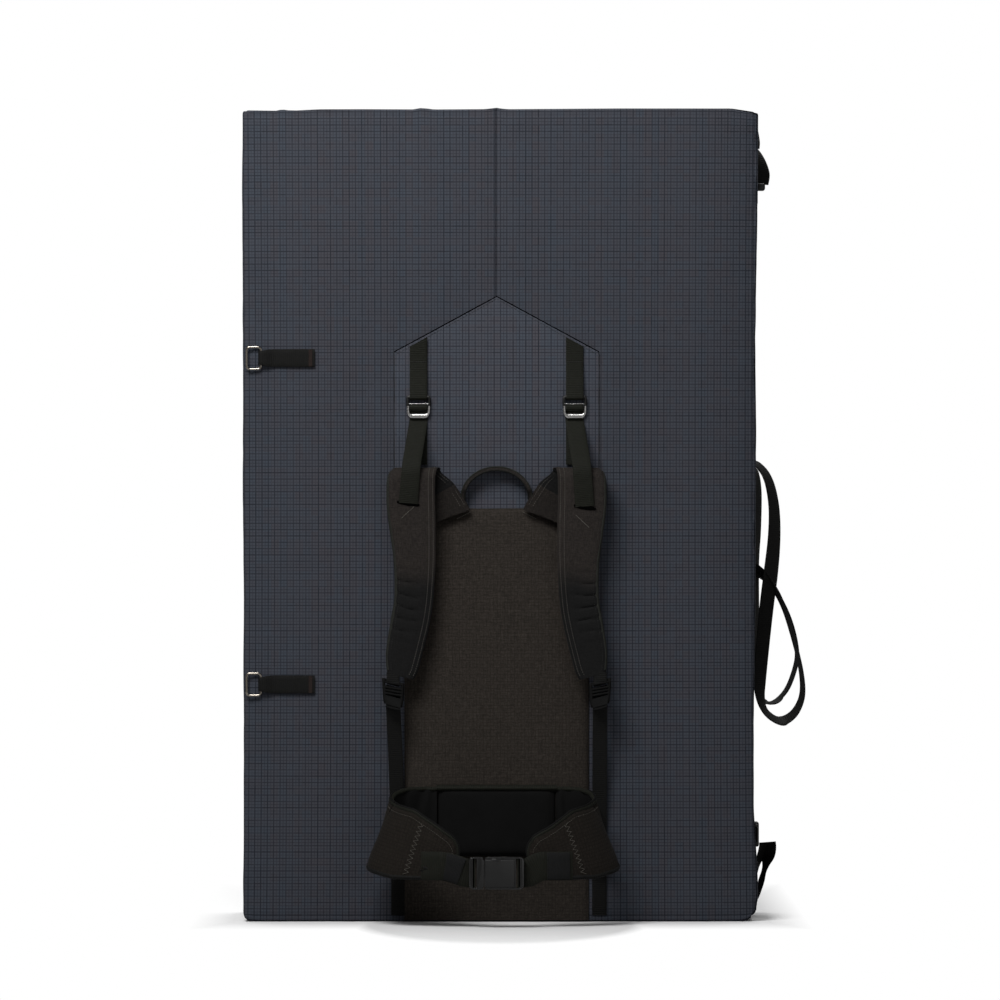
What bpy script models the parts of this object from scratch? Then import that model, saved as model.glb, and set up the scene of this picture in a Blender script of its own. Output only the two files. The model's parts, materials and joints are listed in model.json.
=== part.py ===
"""Folded bouldering crash pad with its carrying harness, standing on end.

Metres, +Z up. The origin is the middle of the end face that the back half stands on.
The harness looks towards -Y, the spine is at -X and the opening side at +X.
"""
from math import cos, hypot, pi, radians, sin

import bmesh
import bpy
from mathutils import Matrix, Vector

MM = 0.001

# The pad
PAD_WIDTH = 655 * MM
PAD_HEIGHT = 1040 * MM
HALF_THICKNESS = 100 * MM
LANDING_GAP = 3 * MM
FACE_CROWN = 5 * MM
SIDE_DRAW_IN = 2.5 * MM
EDGE_ROUND = 7 * MM
COVER_WALL = 1.5 * MM
LANDING_FOAM_THICKNESS = 25 * MM
FIT_GAP = 0.3 * MM
CROWN_POWER = 4
HALF_DIVISIONS = (10, 2, 15)
FOAM_DIVISIONS = (8, 1, 10)

# The zips in the upper ends
ZIP_LENGTH = 520 * MM
ZIP_TAPE_WIDTH = 7 * MM
ZIP_FROM_LANDING_FACE = 14 * MM
ZIP_SLIDER_LENGTH = 11 * MM
ZIP_SLIDER_WIDTH = 8 * MM
ZIP_SLIDER_HEIGHT = 3 * MM
ZIP_PULL_LENGTH = 24 * MM
ZIP_PULL_THICKNESS = 1.2 * MM
ZIP_STEPS = 10

# The fold in the cover at the spine
SPINE_FABRIC = 0.8 * MM
SPINE_LEG = 38 * MM
SPINE_STEPS = 8

# Webbing
WEBBING_THICKNESS = 1.4 * MM
ADJUST_WEBBING = 18 * MM
NARROW_WEBBING = 20 * MM
LIFTER_WEBBING = 22 * MM
BELT_WEBBING = 36 * MM
LAYER_GAP = 0.4 * MM

# The harness panel and the pocket panel above it
HARNESS_X = -5 * MM
PANEL_HALF_WIDTH = 118 * MM
PANEL_HEIGHT = 530 * MM
PANEL_SHOULDER_DROP = 30 * MM
PANEL_TOP_HALF_WIDTH = 37 * MM
PANEL_EDGE_THICKNESS = 4.5 * MM
PANEL_PADDING = 8 * MM
PANEL_PUFF_POWERS = (4, 6)
PANEL_FOOT = 2 * MM
PANEL_DIVISIONS = (8, 12)
CHEVRON_HALF_WIDTH = 131 * MM
CHEVRON_CORNER_ABOVE = 200 * MM
CHEVRON_CORNER_HEIGHT = PANEL_HEIGHT + CHEVRON_CORNER_ABOVE
CHEVRON_RISE = 71 * MM
CHEVRON_FOOT_ABOVE = 6 * MM
CHEVRON_FOOT = PANEL_HEIGHT + CHEVRON_FOOT_ABOVE
CHEVRON_THICKNESS = 1.2 * MM
CHEVRON_DIVISIONS = (8, 6)

# The haul handle
HAUL_HALF_SPAN = 46 * MM
HAUL_RISE = 53 * MM
HAUL_STRIP = 6 * MM
HAUL_DEPTH = 20 * MM
HAUL_LEG_SHARE = 0.25
HAUL_STEPS = 14

# The shoulder straps: distance from the harness's middle, height and width along each
STRAP_SPREAD = 109 * MM
STRAP_ABOVE_PANEL = 47 * MM
STRAP_TOP = PANEL_HEIGHT + STRAP_ABOVE_PANEL
STRAP_FOLD = 11 * MM
STRAP_THICKNESS = 10 * MM
STRAP_WIDTH = 60 * MM
STRAP_BACK_SHARES = ((0.60, 0.872, 0.80), (0.67, 0.912, 0.82), (0.77, 0.946, 0.86), (0.88, 0.975, 0.93))
STRAP_FRONT_SHARES = (
    (1.00, 0.975, 1.00), (1.00, 0.932, 1.00), (0.985, 0.888, 0.97), (0.955, 0.802, 0.86),
    (0.965, 0.718, 0.80), (1.01, 0.664, 0.80), (1.075, 0.602, 0.75), (1.10, 0.556, 0.64),
)
STRAP_FOLD_STEPS = 6
STRAP_SECTION_SHARES = (
    (0.5, 0.0), (0.47, 0.28), (0.36, 0.5), (0.0, 0.5), (-0.36, 0.5), (-0.47, 0.28),
    (-0.5, 0.0), (-0.47, -0.28), (-0.36, -0.5), (0.0, -0.5), (0.36, -0.5), (0.47, -0.28),
)

# Ladder locks at the straps' lower ends
LOCK_WIDTH = 27 * MM
LOCK_HEIGHT = 38 * MM
LOCK_THICKNESS = 4 * MM
LOCK_SPREAD = 132 * MM
LOCK_BELOW_STRAP = 12.8 * MM
LOCK_TOP_BAR_Z = STRAP_FRONT_SHARES[-1][1] * STRAP_TOP - LOCK_BELOW_STRAP
LOCK_BAR = 4 * MM
LOCK_SLOT = 6 * MM
LOCK_LEAN = radians(16)
LOCK_TAIL = 45 * MM
ADJUST_FOOT = 8 * MM
ADJUST_SHARES = (0.0, 0.08, 0.3, 0.5, 0.7, 0.88)

# Load lifters
LIFTER_SPREAD = 100 * MM
LIFTER_BUCKLE_WIDTH = 31 * MM
LIFTER_BUCKLE_HEIGHT = 31 * MM
LIFTER_BUCKLE_THICKNESS = 3 * MM
LIFTER_BAR_ABOVE_STRAP = 95 * MM
LIFTER_TOP_BAR_Z = STRAP_TOP + LIFTER_BAR_ABOVE_STRAP
LIFTER_BAR = 4 * MM
LIFTER_SLOT = 9.5 * MM
LIFTER_TAIL = 62 * MM
LIFTER_FOLDED_BACK = 26 * MM
LIFTER_END_BELOW_FOLD = 41 * MM
LIFTER_END_Z = STRAP_TOP - LIFTER_END_BELOW_FOLD
LIFTER_END_SPREAD = 111 * MM
LIFTER_OVER_FOLD = 8 * MM

# The hip belt
LUMBAR_HALF_WIDTH = 76 * MM
LUMBAR_Z = 129 * MM
LUMBAR_HEIGHT = 88 * MM
LUMBAR_THICKNESS = 12 * MM
LUMBAR_ROUND = 5 * MM
WING_THICKNESS = 8 * MM
WING_REACH = 148 * MM
WING_FORWARD = 112 * MM
WING_HEIGHT = 86 * MM
WING_END_HEIGHT = 42 * MM
WING_DROOP = 50 * MM
WING_FLARE = radians(18)
WING_LEVEL_SHARE = 0.15
WING_DROOP_POWER = 1.4
WING_TAPER_SHARE = 0.35
WING_SHARES = (
    (0.535, 0.00), (0.66, 0.0), (0.80, 0.05), (0.92, 0.16), (0.99, 0.32),
    (0.985, 0.52), (0.90, 0.70), (0.76, 0.84), (0.60, 0.92), (0.47, 0.955),
)
BELT_OVERLAP_SHARE = 0.72
BELT_BEND_SHARE = 0.55

# The belt buckle
BUCKLE_LENGTH = 69 * MM
BUCKLE_HEIGHT = 41 * MM
BUCKLE_THICKNESS = 12 * MM
BUCKLE_Z = 70 * MM
BUCKLE_FORWARD = 193 * MM
BUCKLE_WALL = 2.2 * MM
BUCKLE_CORNER = 5 * MM
SOCKET_LENGTH = 50 * MM
SOCKET_BAR = 5 * MM
SOCKET_WEB_SLOT = 5 * MM
PLUG_BAR = 4.5 * MM
PLUG_SLOT = 5 * MM
TONGUE_HEIGHT = 12 * MM
TONGUE_LENGTH = 28 * MM
TONGUE_THICKNESS = 6 * MM
PRONG_LENGTH = 29 * MM
PRONG_ARM = 3.5 * MM
PRONG_HEAD = 14 * MM
PRONG_STEP = 2.2 * MM
PRONG_THICKNESS = 6.4 * MM

# Rings and their tabs on the spine side
RING_LENGTH = 22 * MM
RING_HEIGHT = 33 * MM
RING_WIRE = 3.6 * MM
RING_SIDES = 8
RING_CORNER = 7 * MM
RING_FROM_SIDE = 11.5 * MM
RING_X = -PAD_WIDTH / 2 + RING_FROM_SIDE
RING_FROM_TOP = 319 * MM
RING_FROM_FOOT = 303 * MM
RING_HEIGHTS = {"upper": PAD_HEIGHT - RING_FROM_TOP, "lower": RING_FROM_FOOT}
TAB_LENGTH = 65 * MM
TAB_WEBBING = 23 * MM
TAB_FOLDED_BACK = 30 * MM
TAB_OVER_SHARES = (0.25, 0.45, 0.7, 1.0)

# Carry handles on the opening side: shares of the reach, drop and depth along the loop, and
# how far the webbing is turned there, from 0 with its face towards the harness side
HANDLE_FROM_TOP = 459 * MM
HANDLE_TOP_Z = PAD_HEIGHT - HANDLE_FROM_TOP
HANDLE_DROP = 318 * MM
HANDLE_REACH = 60 * MM
HANDLE_WEBBING = 23 * MM
HANDLE_END_WEBBING = 13 * MM
HANDLE_DEPTH = 9 * MM
HANDLE_SHARES = (
    (0.00, 0.000, 0.0, 0), (0.10, 0.000, 0.0, 0), (0.22, 0.040, 0.0, 8), (0.30, 0.110, -0.2, 24),
    (0.31, 0.220, -0.4, 36), (0.29, 0.400, -0.6, 38), (0.25, 0.560, -0.6, 36), (0.21, 0.700, -0.6, 36),
    (0.18, 0.840, -0.6, 40), (0.19, 0.920, -0.5, 50), (0.29, 0.982, -0.2, 62), (0.50, 1.000, 0.2, 70),
    (0.72, 0.982, 0.6, 72), (0.92, 0.915, 0.9, 74), (0.99, 0.845, 1.0, 74), (0.92, 0.755, 1.1, 72),
    (0.78, 0.660, 1.2, 70), (0.62, 0.575, 1.3, 64), (0.42, 0.490, 1.1, 48), (0.24, 0.430, 0.6, 24),
    (0.10, 0.400, 0.0, 0), (0.00, 0.400, 0.0, 0),
)

# Closure straps across the opening side, near its two ends
CLOSURE_FROM_END = 104 * MM
CLOSURE_FROM_FOOT = 108 * MM
CLOSURE_Z = {"upper": PAD_HEIGHT - CLOSURE_FROM_END, "lower": CLOSURE_FROM_FOOT}
CLOSURE_WEBBING = 20 * MM
CLOSURE_STRAP_LENGTH = 44 * MM
CLOSURE_FOLD = 14 * MM
CLOSURE_TAIL_REACH = 21 * MM
CLOSURE_TAIL_DROP = 88 * MM
CLOSURE_TAIL_SHARES = (
    (0.02, 1.00), (0.10, 0.92), (0.22, 0.74), (0.30, 0.58), (0.62, 0.42), (0.90, 0.26),
    (1.00, 0.13), (0.92, 0.03), (0.66, 0.0), (0.40, 0.03), (0.26, 0.05),
)
HOOK_LENGTH = 30 * MM
HOOK_WIDTH = 24 * MM
HOOK_THICKNESS = 2.2 * MM
ANCHOR_HEIGHT = 4 * MM
ANCHOR_WIDTH = 20 * MM
ANCHOR_LENGTH = 34 * MM
ANCHOR_FOLDED_BACK = 16 * MM
ANCHOR_RAIL = 3 * MM

SLATE = (0.040, 0.044, 0.055)
BROWN = (0.024, 0.020, 0.017)
BLACK = (0.008, 0.008, 0.008)
OLIVE = (0.014, 0.014, 0.011)
STEEL = (0.55, 0.55, 0.56)
FOAM_GREY = (0.25, 0.25, 0.27)
FOAM_WHITE = (0.62, 0.61, 0.56)

INNER_Y = HALF_THICKNESS / 2
FOLD_AXIS = Vector((-PAD_WIDTH / 2 - LANDING_GAP / 2, INNER_Y + LANDING_GAP / 2, 0))

for leftover in list(bpy.data.objects):
    bpy.data.objects.remove(leftover, do_unlink=True)


# Materials, empties and objects
materials = {}
pivots = {}


def material(name, colour, roughness, metallic=0.0):
    """One Principled material of the given finish."""
    made = bpy.data.materials.new(name)
    made.use_nodes = True
    shader = made.node_tree.nodes["Principled BSDF"]
    shader.inputs["Base Color"].default_value = (*colour, 1.0)
    shader.inputs["Roughness"].default_value = roughness
    shader.inputs["Metallic"].default_value = metallic
    materials[name] = made


def pivot(name, place, parent=None):
    """An empty on a joint's axis, which carries the pieces that turn about it."""
    empty = bpy.data.objects.new(name, None)
    bpy.context.collection.objects.link(empty)
    base = pivots[parent][1] if parent else Vector()
    empty.location = Vector(place) - base
    if parent:
        empty.parent = pivots[parent][0]
    pivots[name] = (empty, Vector(place))


def publish(bm, name, finish, carrier=None, smooth=30):
    """Turn a bmesh drawn at its place in the part into a named object."""
    bm.normal_update()
    bmesh.ops.recalc_face_normals(bm, faces=bm.faces)
    mesh = bpy.data.meshes.new(name)
    bm.to_mesh(mesh)
    bm.free()
    obj = bpy.data.objects.new(name, mesh)
    bpy.context.collection.objects.link(obj)
    mesh.shade_smooth()
    mesh.set_sharp_from_angle(angle=radians(smooth))
    if finish:
        own = materials[finish].copy()
        own.name = name + "_finish"
        mesh.materials.append(own)
    if carrier:
        empty, place = pivots[carrier]
        obj.parent = empty
        obj.matrix_parent_inverse = Matrix.Translation(-place)
    return obj


def cut(target, cutters):
    """Take each closed cutter out of the target."""
    for cutter in cutters:
        cutter.hide_render = True
        cutter.display_type = "WIRE"
        modifier = target.modifiers.new("cut", "BOOLEAN")
        modifier.operation = "DIFFERENCE"
        modifier.solver = "EXACT"
        modifier.object = cutter


# Shapes
def box_mesh(low, high, corner=0.0, segments=2):
    """A box between two corners, its upright edges along Y rounded when a corner is given."""
    bm = bmesh.new()
    bmesh.ops.create_cube(bm, size=1)
    low, high = Vector(low), Vector(high)
    for vertex in bm.verts:
        share = vertex.co + Vector((0.5, 0.5, 0.5))
        vertex.co = Vector(a + (b - a) * s for a, b, s in zip(low, high, share))
    if corner:
        along_y = [e for e in bm.edges if abs(e.verts[0].co.y - e.verts[1].co.y) > corner / 2]
        bmesh.ops.bevel(bm, geom=along_y, offset=corner, segments=segments, affect="EDGES", profile=0.5)
    return bm


def sweep(sections, closed=False):
    """Join equal rings of points into one closed tube."""
    bm = bmesh.new()
    rings = [[bm.verts.new(corner) for corner in ring] for ring in sections]
    count = len(rings[0])
    pairs = list(zip(rings, rings[1:] + rings[:1])) if closed else list(zip(rings, rings[1:]))
    for here, there in pairs:
        for i in range(count):
            j = (i + 1) % count
            bm.faces.new((here[i], here[j], there[j], there[i]))
    if not closed:
        bm.faces.new(rings[0])
        bm.faces.new(rings[-1])
    return bm


def tangents(points, closed=False):
    """The direction of a path at each of its points."""
    found = []
    last = len(points) - 1
    for i in range(len(points)):
        before = points[i - 1] if i or closed else points[i]
        after = points[(i + 1) % len(points)] if i < last or closed else points[i]
        found.append((after - before).normalized())
    return found


def ribbon(points, widths, thickness, across):
    """Flat webbing along a path: across gives the direction of its width at each point."""
    points = [Vector(p) for p in points]
    sections = []
    for point, along, width, side in zip(points, tangents(points), widths, across):
        side = (side - along * side.dot(along)).normalized()
        normal = along.cross(side).normalized()
        half, thin = side * width / 2, normal * thickness / 2
        sections.append([point - half - thin, point + half - thin, point + half + thin, point - half + thin])
    return sweep(sections)


def padded(points, widths, thickness, across, shape=STRAP_SECTION_SHARES, headings=None):
    """A soft strap with rounded edges along a path."""
    points = [Vector(p) for p in points]
    sections = []
    for point, along, width, side in zip(points, headings or tangents(points), widths, across):
        along = along.normalized()
        side = (side - along * side.dot(along)).normalized()
        normal = along.cross(side).normalized()
        sections.append([point + side * width * a + normal * thickness * b for a, b in shape])
    return sweep(sections)


def smooth_path(points, steps):
    """A smooth curve through the given points, with a few steps between each two."""
    points = [Vector(p) for p in points]
    full = [points[0] * 2 - points[1], *points, points[-1] * 2 - points[-2]]
    curve = []
    for a, b, c, d in zip(full, full[1:], full[2:], full[3:]):
        for i in range(steps):
            t = i / steps
            curve.append(0.5 * (2 * b + (c - a) * t + (2 * a - 5 * b + 4 * c - d) * t ** 2
                                + (3 * b - 3 * c + d - a) * t ** 3))
    return [*curve, points[-1]]


def crown_at(x, z):
    """How far a half's outer face stands proud of its flat seam line."""
    u = min(1, abs(x) / (PAD_WIDTH / 2))
    v = min(1, abs(z - PAD_HEIGHT / 2) / (PAD_HEIGHT / 2))
    return FACE_CROWN * (1 - u ** CROWN_POWER) * (1 - v ** CROWN_POWER)


def face_y(x, z):
    """The back half's outer face."""
    return -HALF_THICKNESS / 2 - crown_at(x, z)


def side_x(z):
    """The opening side's face, drawn in between its corners."""
    v = abs(z - PAD_HEIGHT / 2) / (PAD_HEIGHT / 2)
    return PAD_WIDTH / 2 - SIDE_DRAW_IN * (1 - min(1, v) ** 2)


def end_z(x):
    """The upper end's face, drawn in between its corners."""
    u = abs(x) / (PAD_WIDTH / 2)
    return PAD_HEIGHT - SIDE_DRAW_IN * (1 - min(1, u) ** 2)


def stops(low, high, count, edge):
    """Grid lines from low to high, with one just inside each end where an edge is rounded."""
    inner = [low + edge + (high - low - 2 * edge) * i / count for i in range(count + 1)]
    return [low, *inner, high]


def cushion(inset, outer_y, inner_y, divisions, crowned=True):
    """A half of the pad, or foam inside it: a crowned slab drawn in at its sides, flat below."""
    lines = (
        stops(-PAD_WIDTH / 2 + inset, PAD_WIDTH / 2 - inset, divisions[0], EDGE_ROUND),
        stops(outer_y, inner_y, divisions[1], EDGE_ROUND),
        stops(inset, PAD_HEIGHT - inset, divisions[2], EDGE_ROUND),
    )
    pull = EDGE_ROUND * (1 - 0.5 ** 0.5)
    bm = bmesh.new()
    corners = {}

    def corner(i, j, k):
        if (i, j, k) in corners:
            return corners[i, j, k]
        at = [line[n] for line, n in zip(lines, (i, j, k))]
        ends = [n in (0, len(line) - 1) for line, n in zip(lines, (i, j, k))]
        x, y, z = at
        middle = [(line[0] + line[-1]) / 2 for line in lines]
        if crowned and j == 0:
            y -= crown_at(at[0], at[2])
        if ends[0]:
            x -= (side_x(0) - side_x(at[2])) * (1 if x > 0 else -1)
        if k == len(lines[2]) - 1:
            z -= PAD_HEIGHT - end_z(at[0])
        if sum(ends) > 1:
            x += pull * (ends[0] and (1 if at[0] < middle[0] else -1))
            y += pull * (ends[1] and (1 if at[1] < middle[1] else -1))
            z += pull * (ends[2] and (1 if at[2] < middle[2] else -1))
        corners[i, j, k] = bm.verts.new((x, y, z))
        return corners[i, j, k]

    sizes = [len(line) - 1 for line in lines]
    for axis in range(3):
        b, c = (axis + 1) % 3, (axis + 2) % 3
        for level in (0, sizes[axis]):
            for m in range(sizes[b]):
                for n in range(sizes[c]):
                    face = []
                    for dm, dn in ((0, 0), (1, 0), (1, 1), (0, 1)):
                        index = [0, 0, 0]
                        index[axis], index[b], index[c] = level, m + dm, n + dn
                        face.append(corner(*index))
                    bm.faces.new(face)
    bmesh.ops.triangulate(bm, faces=bm.faces, quad_method="FIXED")
    return bm


def mirrored(bm):
    """Turn a piece of the back half into the same piece of the front half."""
    for vertex in bm.verts:
        vertex.co.y = 2 * FOLD_AXIS.y - vertex.co.y
    return bm


def draped(outline, divisions, back_gap, thickness_at):
    """A sheet on the back half's face: outline(s, t) gives x and z for shares from 0 to 1."""
    bm = bmesh.new()
    columns, rows = divisions

    def layer(proud):
        grid = []
        for row in range(rows + 1):
            line = []
            for column in range(columns + 1):
                x, z = outline(column / columns, row / rows)
                depth = proud(column / columns, row / rows)
                line.append(bm.verts.new((x, face_y(x, z) - depth, z)))
            grid.append(line)
        return grid

    back = layer(lambda s, t: back_gap)
    front = layer(lambda s, t: back_gap + thickness_at(s, t))
    for grid in (back, front):
        for row in range(rows):
            for column in range(columns):
                bm.faces.new((grid[row][column], grid[row][column + 1],
                              grid[row + 1][column + 1], grid[row + 1][column]))
    rim = [(0, c) for c in range(columns)] + [(r, columns) for r in range(rows)]
    rim += [(rows, c) for c in range(columns, 0, -1)] + [(r, 0) for r in range(rows, 0, -1)]
    for (r0, c0), (r1, c1) in zip(rim, rim[1:] + rim[:1]):
        bm.faces.new((back[r0][c0], back[r1][c1], front[r1][c1], front[r0][c0]))
    return bm


# Finishes
material("slate_fabric", SLATE, 0.75)
material("brown_fabric", BROWN, 0.85)
material("black_fabric", BLACK, 0.85)
material("webbing", OLIVE, 0.7)
material("black_webbing", BLACK, 0.7)
material("steel", STEEL, 0.3, 1.0)
material("black_plastic", BLACK, 0.4)
material("open_foam", FOAM_GREY, 0.9)
material("closed_foam", FOAM_WHITE, 0.8)


# Joint places
HAUL_AXIS = Vector((HARNESS_X, face_y(0, PANEL_HEIGHT) - FIT_GAP - PANEL_EDGE_THICKNESS - 3 * FIT_GAP,
                    PANEL_HEIGHT + FIT_GAP))

pivot("fold_axis", FOLD_AXIS)
pivot("haul_handle_axis", HAUL_AXIS)


def back_cover_piece(carrier, shape, name):
    """A half's fabric casing: a crowned shell with a slot for its zip."""
    casing = publish(shape(cushion(0, -INNER_Y, INNER_Y, HALF_DIVISIONS)), name, "slate_fabric", carrier)
    hollow = shape(cushion(COVER_WALL, -INNER_Y + COVER_WALL, INNER_Y - COVER_WALL, FOAM_DIVISIONS))
    zip_y = INNER_Y - ZIP_FROM_LANDING_FACE
    slot = shape(box_mesh((-ZIP_LENGTH / 2, zip_y - ZIP_TAPE_WIDTH / 2, PAD_HEIGHT - EDGE_ROUND),
                          (ZIP_LENGTH / 2, zip_y + ZIP_TAPE_WIDTH / 2, PAD_HEIGHT + EDGE_ROUND)))
    cut(casing, [publish(hollow, name + "_hollow", None, carrier),
                 publish(slot, name + "_zip_slot", None, carrier)])


def zip_pieces(carrier, shape, half):
    """The zip's tape in its slot, and the slider that runs along it."""
    zip_y = INNER_Y - ZIP_FROM_LANDING_FACE
    reach = ZIP_LENGTH / 2 - FIT_GAP
    path = []
    for i in range(ZIP_STEPS + 1):
        x = reach * (2 * i / ZIP_STEPS - 1)
        path.append((x, zip_y, end_z(x) - COVER_WALL / 2))
    widths = [ZIP_TAPE_WIDTH - 2 * FIT_GAP] * len(path)
    tape = ribbon(path, widths, COVER_WALL, [Vector((0, 1, 0))] * len(path))
    publish(shape(tape), half + "_zip", "black_webbing", carrier)

    start = -reach + ZIP_SLIDER_LENGTH
    low = end_z(start) + FIT_GAP
    body = box_mesh((start - ZIP_SLIDER_LENGTH / 2, zip_y - ZIP_SLIDER_WIDTH / 2, low),
                    (start + ZIP_SLIDER_LENGTH / 2, zip_y + ZIP_SLIDER_WIDTH / 2, low + ZIP_SLIDER_HEIGHT))
    for vertex in body.verts:
        if vertex.co.x > start and vertex.co.z > low + ZIP_SLIDER_HEIGHT / 2:
            vertex.co.z = low + ZIP_PULL_THICKNESS
    end_face = [f for f in body.faces if all(v.co.x > start for v in f.verts)]
    grown = bmesh.ops.extrude_face_region(body, geom=end_face)
    tip = [v for v in grown["geom"] if isinstance(v, bmesh.types.BMVert)]
    bmesh.ops.translate(body, verts=tip, vec=(ZIP_PULL_LENGTH, 0, 0))
    bmesh.ops.delete(body, geom=end_face, context="FACES_ONLY")
    slider_axis = half + "_zip_slider_axis"
    pivot(slider_axis, (start, shape_y(zip_y, half), low), carrier)
    publish(shape(body), half + "_zip_slider", "steel", slider_axis)


def shape_y(y, half):
    """The depth of a place on the back half, or of its mirror image on the front half."""
    return y if half == "back" else 2 * FOLD_AXIS.y - y


def pad_half(half):
    """One half of the pad: casing, two foams and zip."""
    carrier = "fold_axis" if half == "front" else None
    shape = mirrored if half == "front" else lambda bm: bm
    back_cover_piece(carrier, shape, half + "_cover")
    inset = COVER_WALL + FIT_GAP
    landing_y = INNER_Y - inset - LANDING_FOAM_THICKNESS
    landing = cushion(inset, landing_y, INNER_Y - inset, FOAM_DIVISIONS, crowned=False)
    core = cushion(inset, -INNER_Y + inset, landing_y - FIT_GAP, FOAM_DIVISIONS)
    publish(shape(landing), half + "_landing_foam", "closed_foam", carrier)
    publish(shape(core), half + "_core_foam", "open_foam", carrier)
    zip_pieces(carrier, shape, half)


def hinge_fabric():
    """The landing fabric, folded between the halves at the spine."""
    radius = LANDING_GAP / 2 - FIT_GAP - SPINE_FABRIC / 2
    centre = FOLD_AXIS
    path = [centre + Vector((SPINE_LEG + LANDING_GAP, -radius, 0))]
    for i in range(SPINE_STEPS + 1):
        angle = pi * (0.5 + i / SPINE_STEPS)
        path.append(centre + Vector((radius * cos(angle), -radius * sin(angle), 0)))
    path.append(centre + Vector((SPINE_LEG + LANDING_GAP, radius, 0)))
    middle = Vector((0, 0, PAD_HEIGHT / 2))
    length = PAD_HEIGHT - 4 * EDGE_ROUND
    path = [p + middle for p in path]
    bm = ribbon(path, [length] * len(path), SPINE_FABRIC, [Vector((0, 0, 1))] * len(path))
    publish(bm, "hinge_fabric", "slate_fabric")


def panel_top(x):
    """The height of the harness panel's upper edge, at a distance from its middle."""
    over = max(0, abs(x) - PANEL_TOP_HALF_WIDTH) / (PANEL_HALF_WIDTH - PANEL_TOP_HALF_WIDTH)
    return PANEL_HEIGHT - over * PANEL_SHOULDER_DROP


def panel_puff(s, t):
    """The harness panel's thickness, for places from -1 to 1 across it and up it."""
    across, up = PANEL_PUFF_POWERS
    return PANEL_EDGE_THICKNESS + PANEL_PADDING * (1 - abs(s) ** across) * (1 - abs(t) ** up)


def panel_front(x, z):
    """The depth of the harness panel's front face, at a distance from its middle."""
    share = (z - PANEL_FOOT) / (panel_top(x) - PANEL_FOOT)
    t = max(-1, min(1, 2 * share - 1))
    return face_y(HARNESS_X + x, z) - FIT_GAP - panel_puff(x / PANEL_HALF_WIDTH, t)


def harness_panel():
    """The padded back panel, with sloping shoulders."""
    def outline(s, t):
        x = (2 * s - 1) * PANEL_HALF_WIDTH
        return HARNESS_X + x, PANEL_FOOT + (panel_top(x) - PANEL_FOOT) * t

    sheet = draped(outline, PANEL_DIVISIONS, FIT_GAP, lambda s, t: panel_puff(2 * s - 1, 2 * t - 1))
    publish(sheet, "harness_panel", "brown_fabric")


def chevron_panel():
    """The flat panel above the harness, with a peaked upper edge."""
    def outline(s, t):
        x = (2 * s - 1) * CHEVRON_HALF_WIDTH
        top = CHEVRON_CORNER_HEIGHT + CHEVRON_RISE * (1 - abs(2 * s - 1))
        return HARNESS_X + x, CHEVRON_FOOT + (top - CHEVRON_FOOT) * t

    sheet = draped(outline, CHEVRON_DIVISIONS, FIT_GAP, lambda s, t: CHEVRON_THICKNESS)
    publish(sheet, "chevron_panel", "slate_fabric")


def haul_handle():
    """The grab handle, an arch of folded webbing standing edge-on."""
    path = []
    leg = HAUL_RISE * HAUL_LEG_SHARE
    half = HAUL_HALF_SPAN - HAUL_STRIP / 2
    rise = HAUL_RISE - leg - HAUL_STRIP / 2
    middle_y = face_y(0, PANEL_HEIGHT) - FIT_GAP - CHEVRON_THICKNESS - FIT_GAP - HAUL_DEPTH / 2
    base = Vector((HARNESS_X, middle_y, HAUL_AXIS.z))
    path.append(base + Vector((-half, 0, 0)))
    for i in range(HAUL_STEPS + 1):
        angle = pi * (1 - i / HAUL_STEPS)
        path.append(base + Vector((half * cos(angle), 0, leg + rise * sin(angle))))
    path.append(base + Vector((half, 0, 0)))
    sections = []
    for point, along in zip(path, tangents(path)):
        normal = along.cross(Vector((0, 1, 0))).normalized() * HAUL_STRIP / 2
        depth = Vector((0, HAUL_DEPTH / 2, 0))
        sections.append([point - normal - depth, point + normal - depth, point + normal + depth,
                         point - normal + depth])
    for ring in (sections[0], sections[-1]):
        for corner in ring:
            corner.z = HAUL_AXIS.z
    publish(sweep(sections), "haul_handle", "webbing", "haul_handle_axis")


STRAP_START_X = STRAP_BACK_SHARES[0][0] * STRAP_SPREAD - STRAP_BACK_SHARES[0][2] * STRAP_WIDTH / 2
STRAP_START_Z = STRAP_BACK_SHARES[0][1] * STRAP_TOP
STRAP_BACK_Y = panel_front(STRAP_START_X, STRAP_START_Z) - FIT_GAP - STRAP_THICKNESS / 2
STRAP_FRONT_Y = STRAP_BACK_Y - 2 * STRAP_FOLD
STRAP_FOLD_Z = STRAP_TOP - STRAP_FOLD
LOCK_Y = STRAP_FRONT_Y


def strap_path(side):
    """A shoulder strap's middle line and widths: up the panel, over the fold and down the front."""
    points, widths = [], []
    for spread, height, width in STRAP_BACK_SHARES:
        points.append(Vector((HARNESS_X + side * spread * STRAP_SPREAD, STRAP_BACK_Y, height * STRAP_TOP)))
        widths.append(width * STRAP_WIDTH)
    for i in range(STRAP_FOLD_STEPS + 1):
        angle = pi * i / STRAP_FOLD_STEPS
        share = STRAP_BACK_SHARES[-1][0] + (1 - STRAP_BACK_SHARES[-1][0]) * (i + 1) / (STRAP_FOLD_STEPS + 1)
        points.append(Vector((HARNESS_X + side * share * STRAP_SPREAD,
                              (STRAP_BACK_Y + STRAP_FRONT_Y) / 2 + STRAP_FOLD * cos(angle),
                              STRAP_FOLD_Z + STRAP_FOLD * sin(angle))))
        widths.append(STRAP_WIDTH)
    for spread, height, width in STRAP_FRONT_SHARES[1:]:
        points.append(Vector((HARNESS_X + side * spread * STRAP_SPREAD, STRAP_FRONT_Y, height * STRAP_TOP)))
        widths.append(width * STRAP_WIDTH)
    return points, widths


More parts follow.
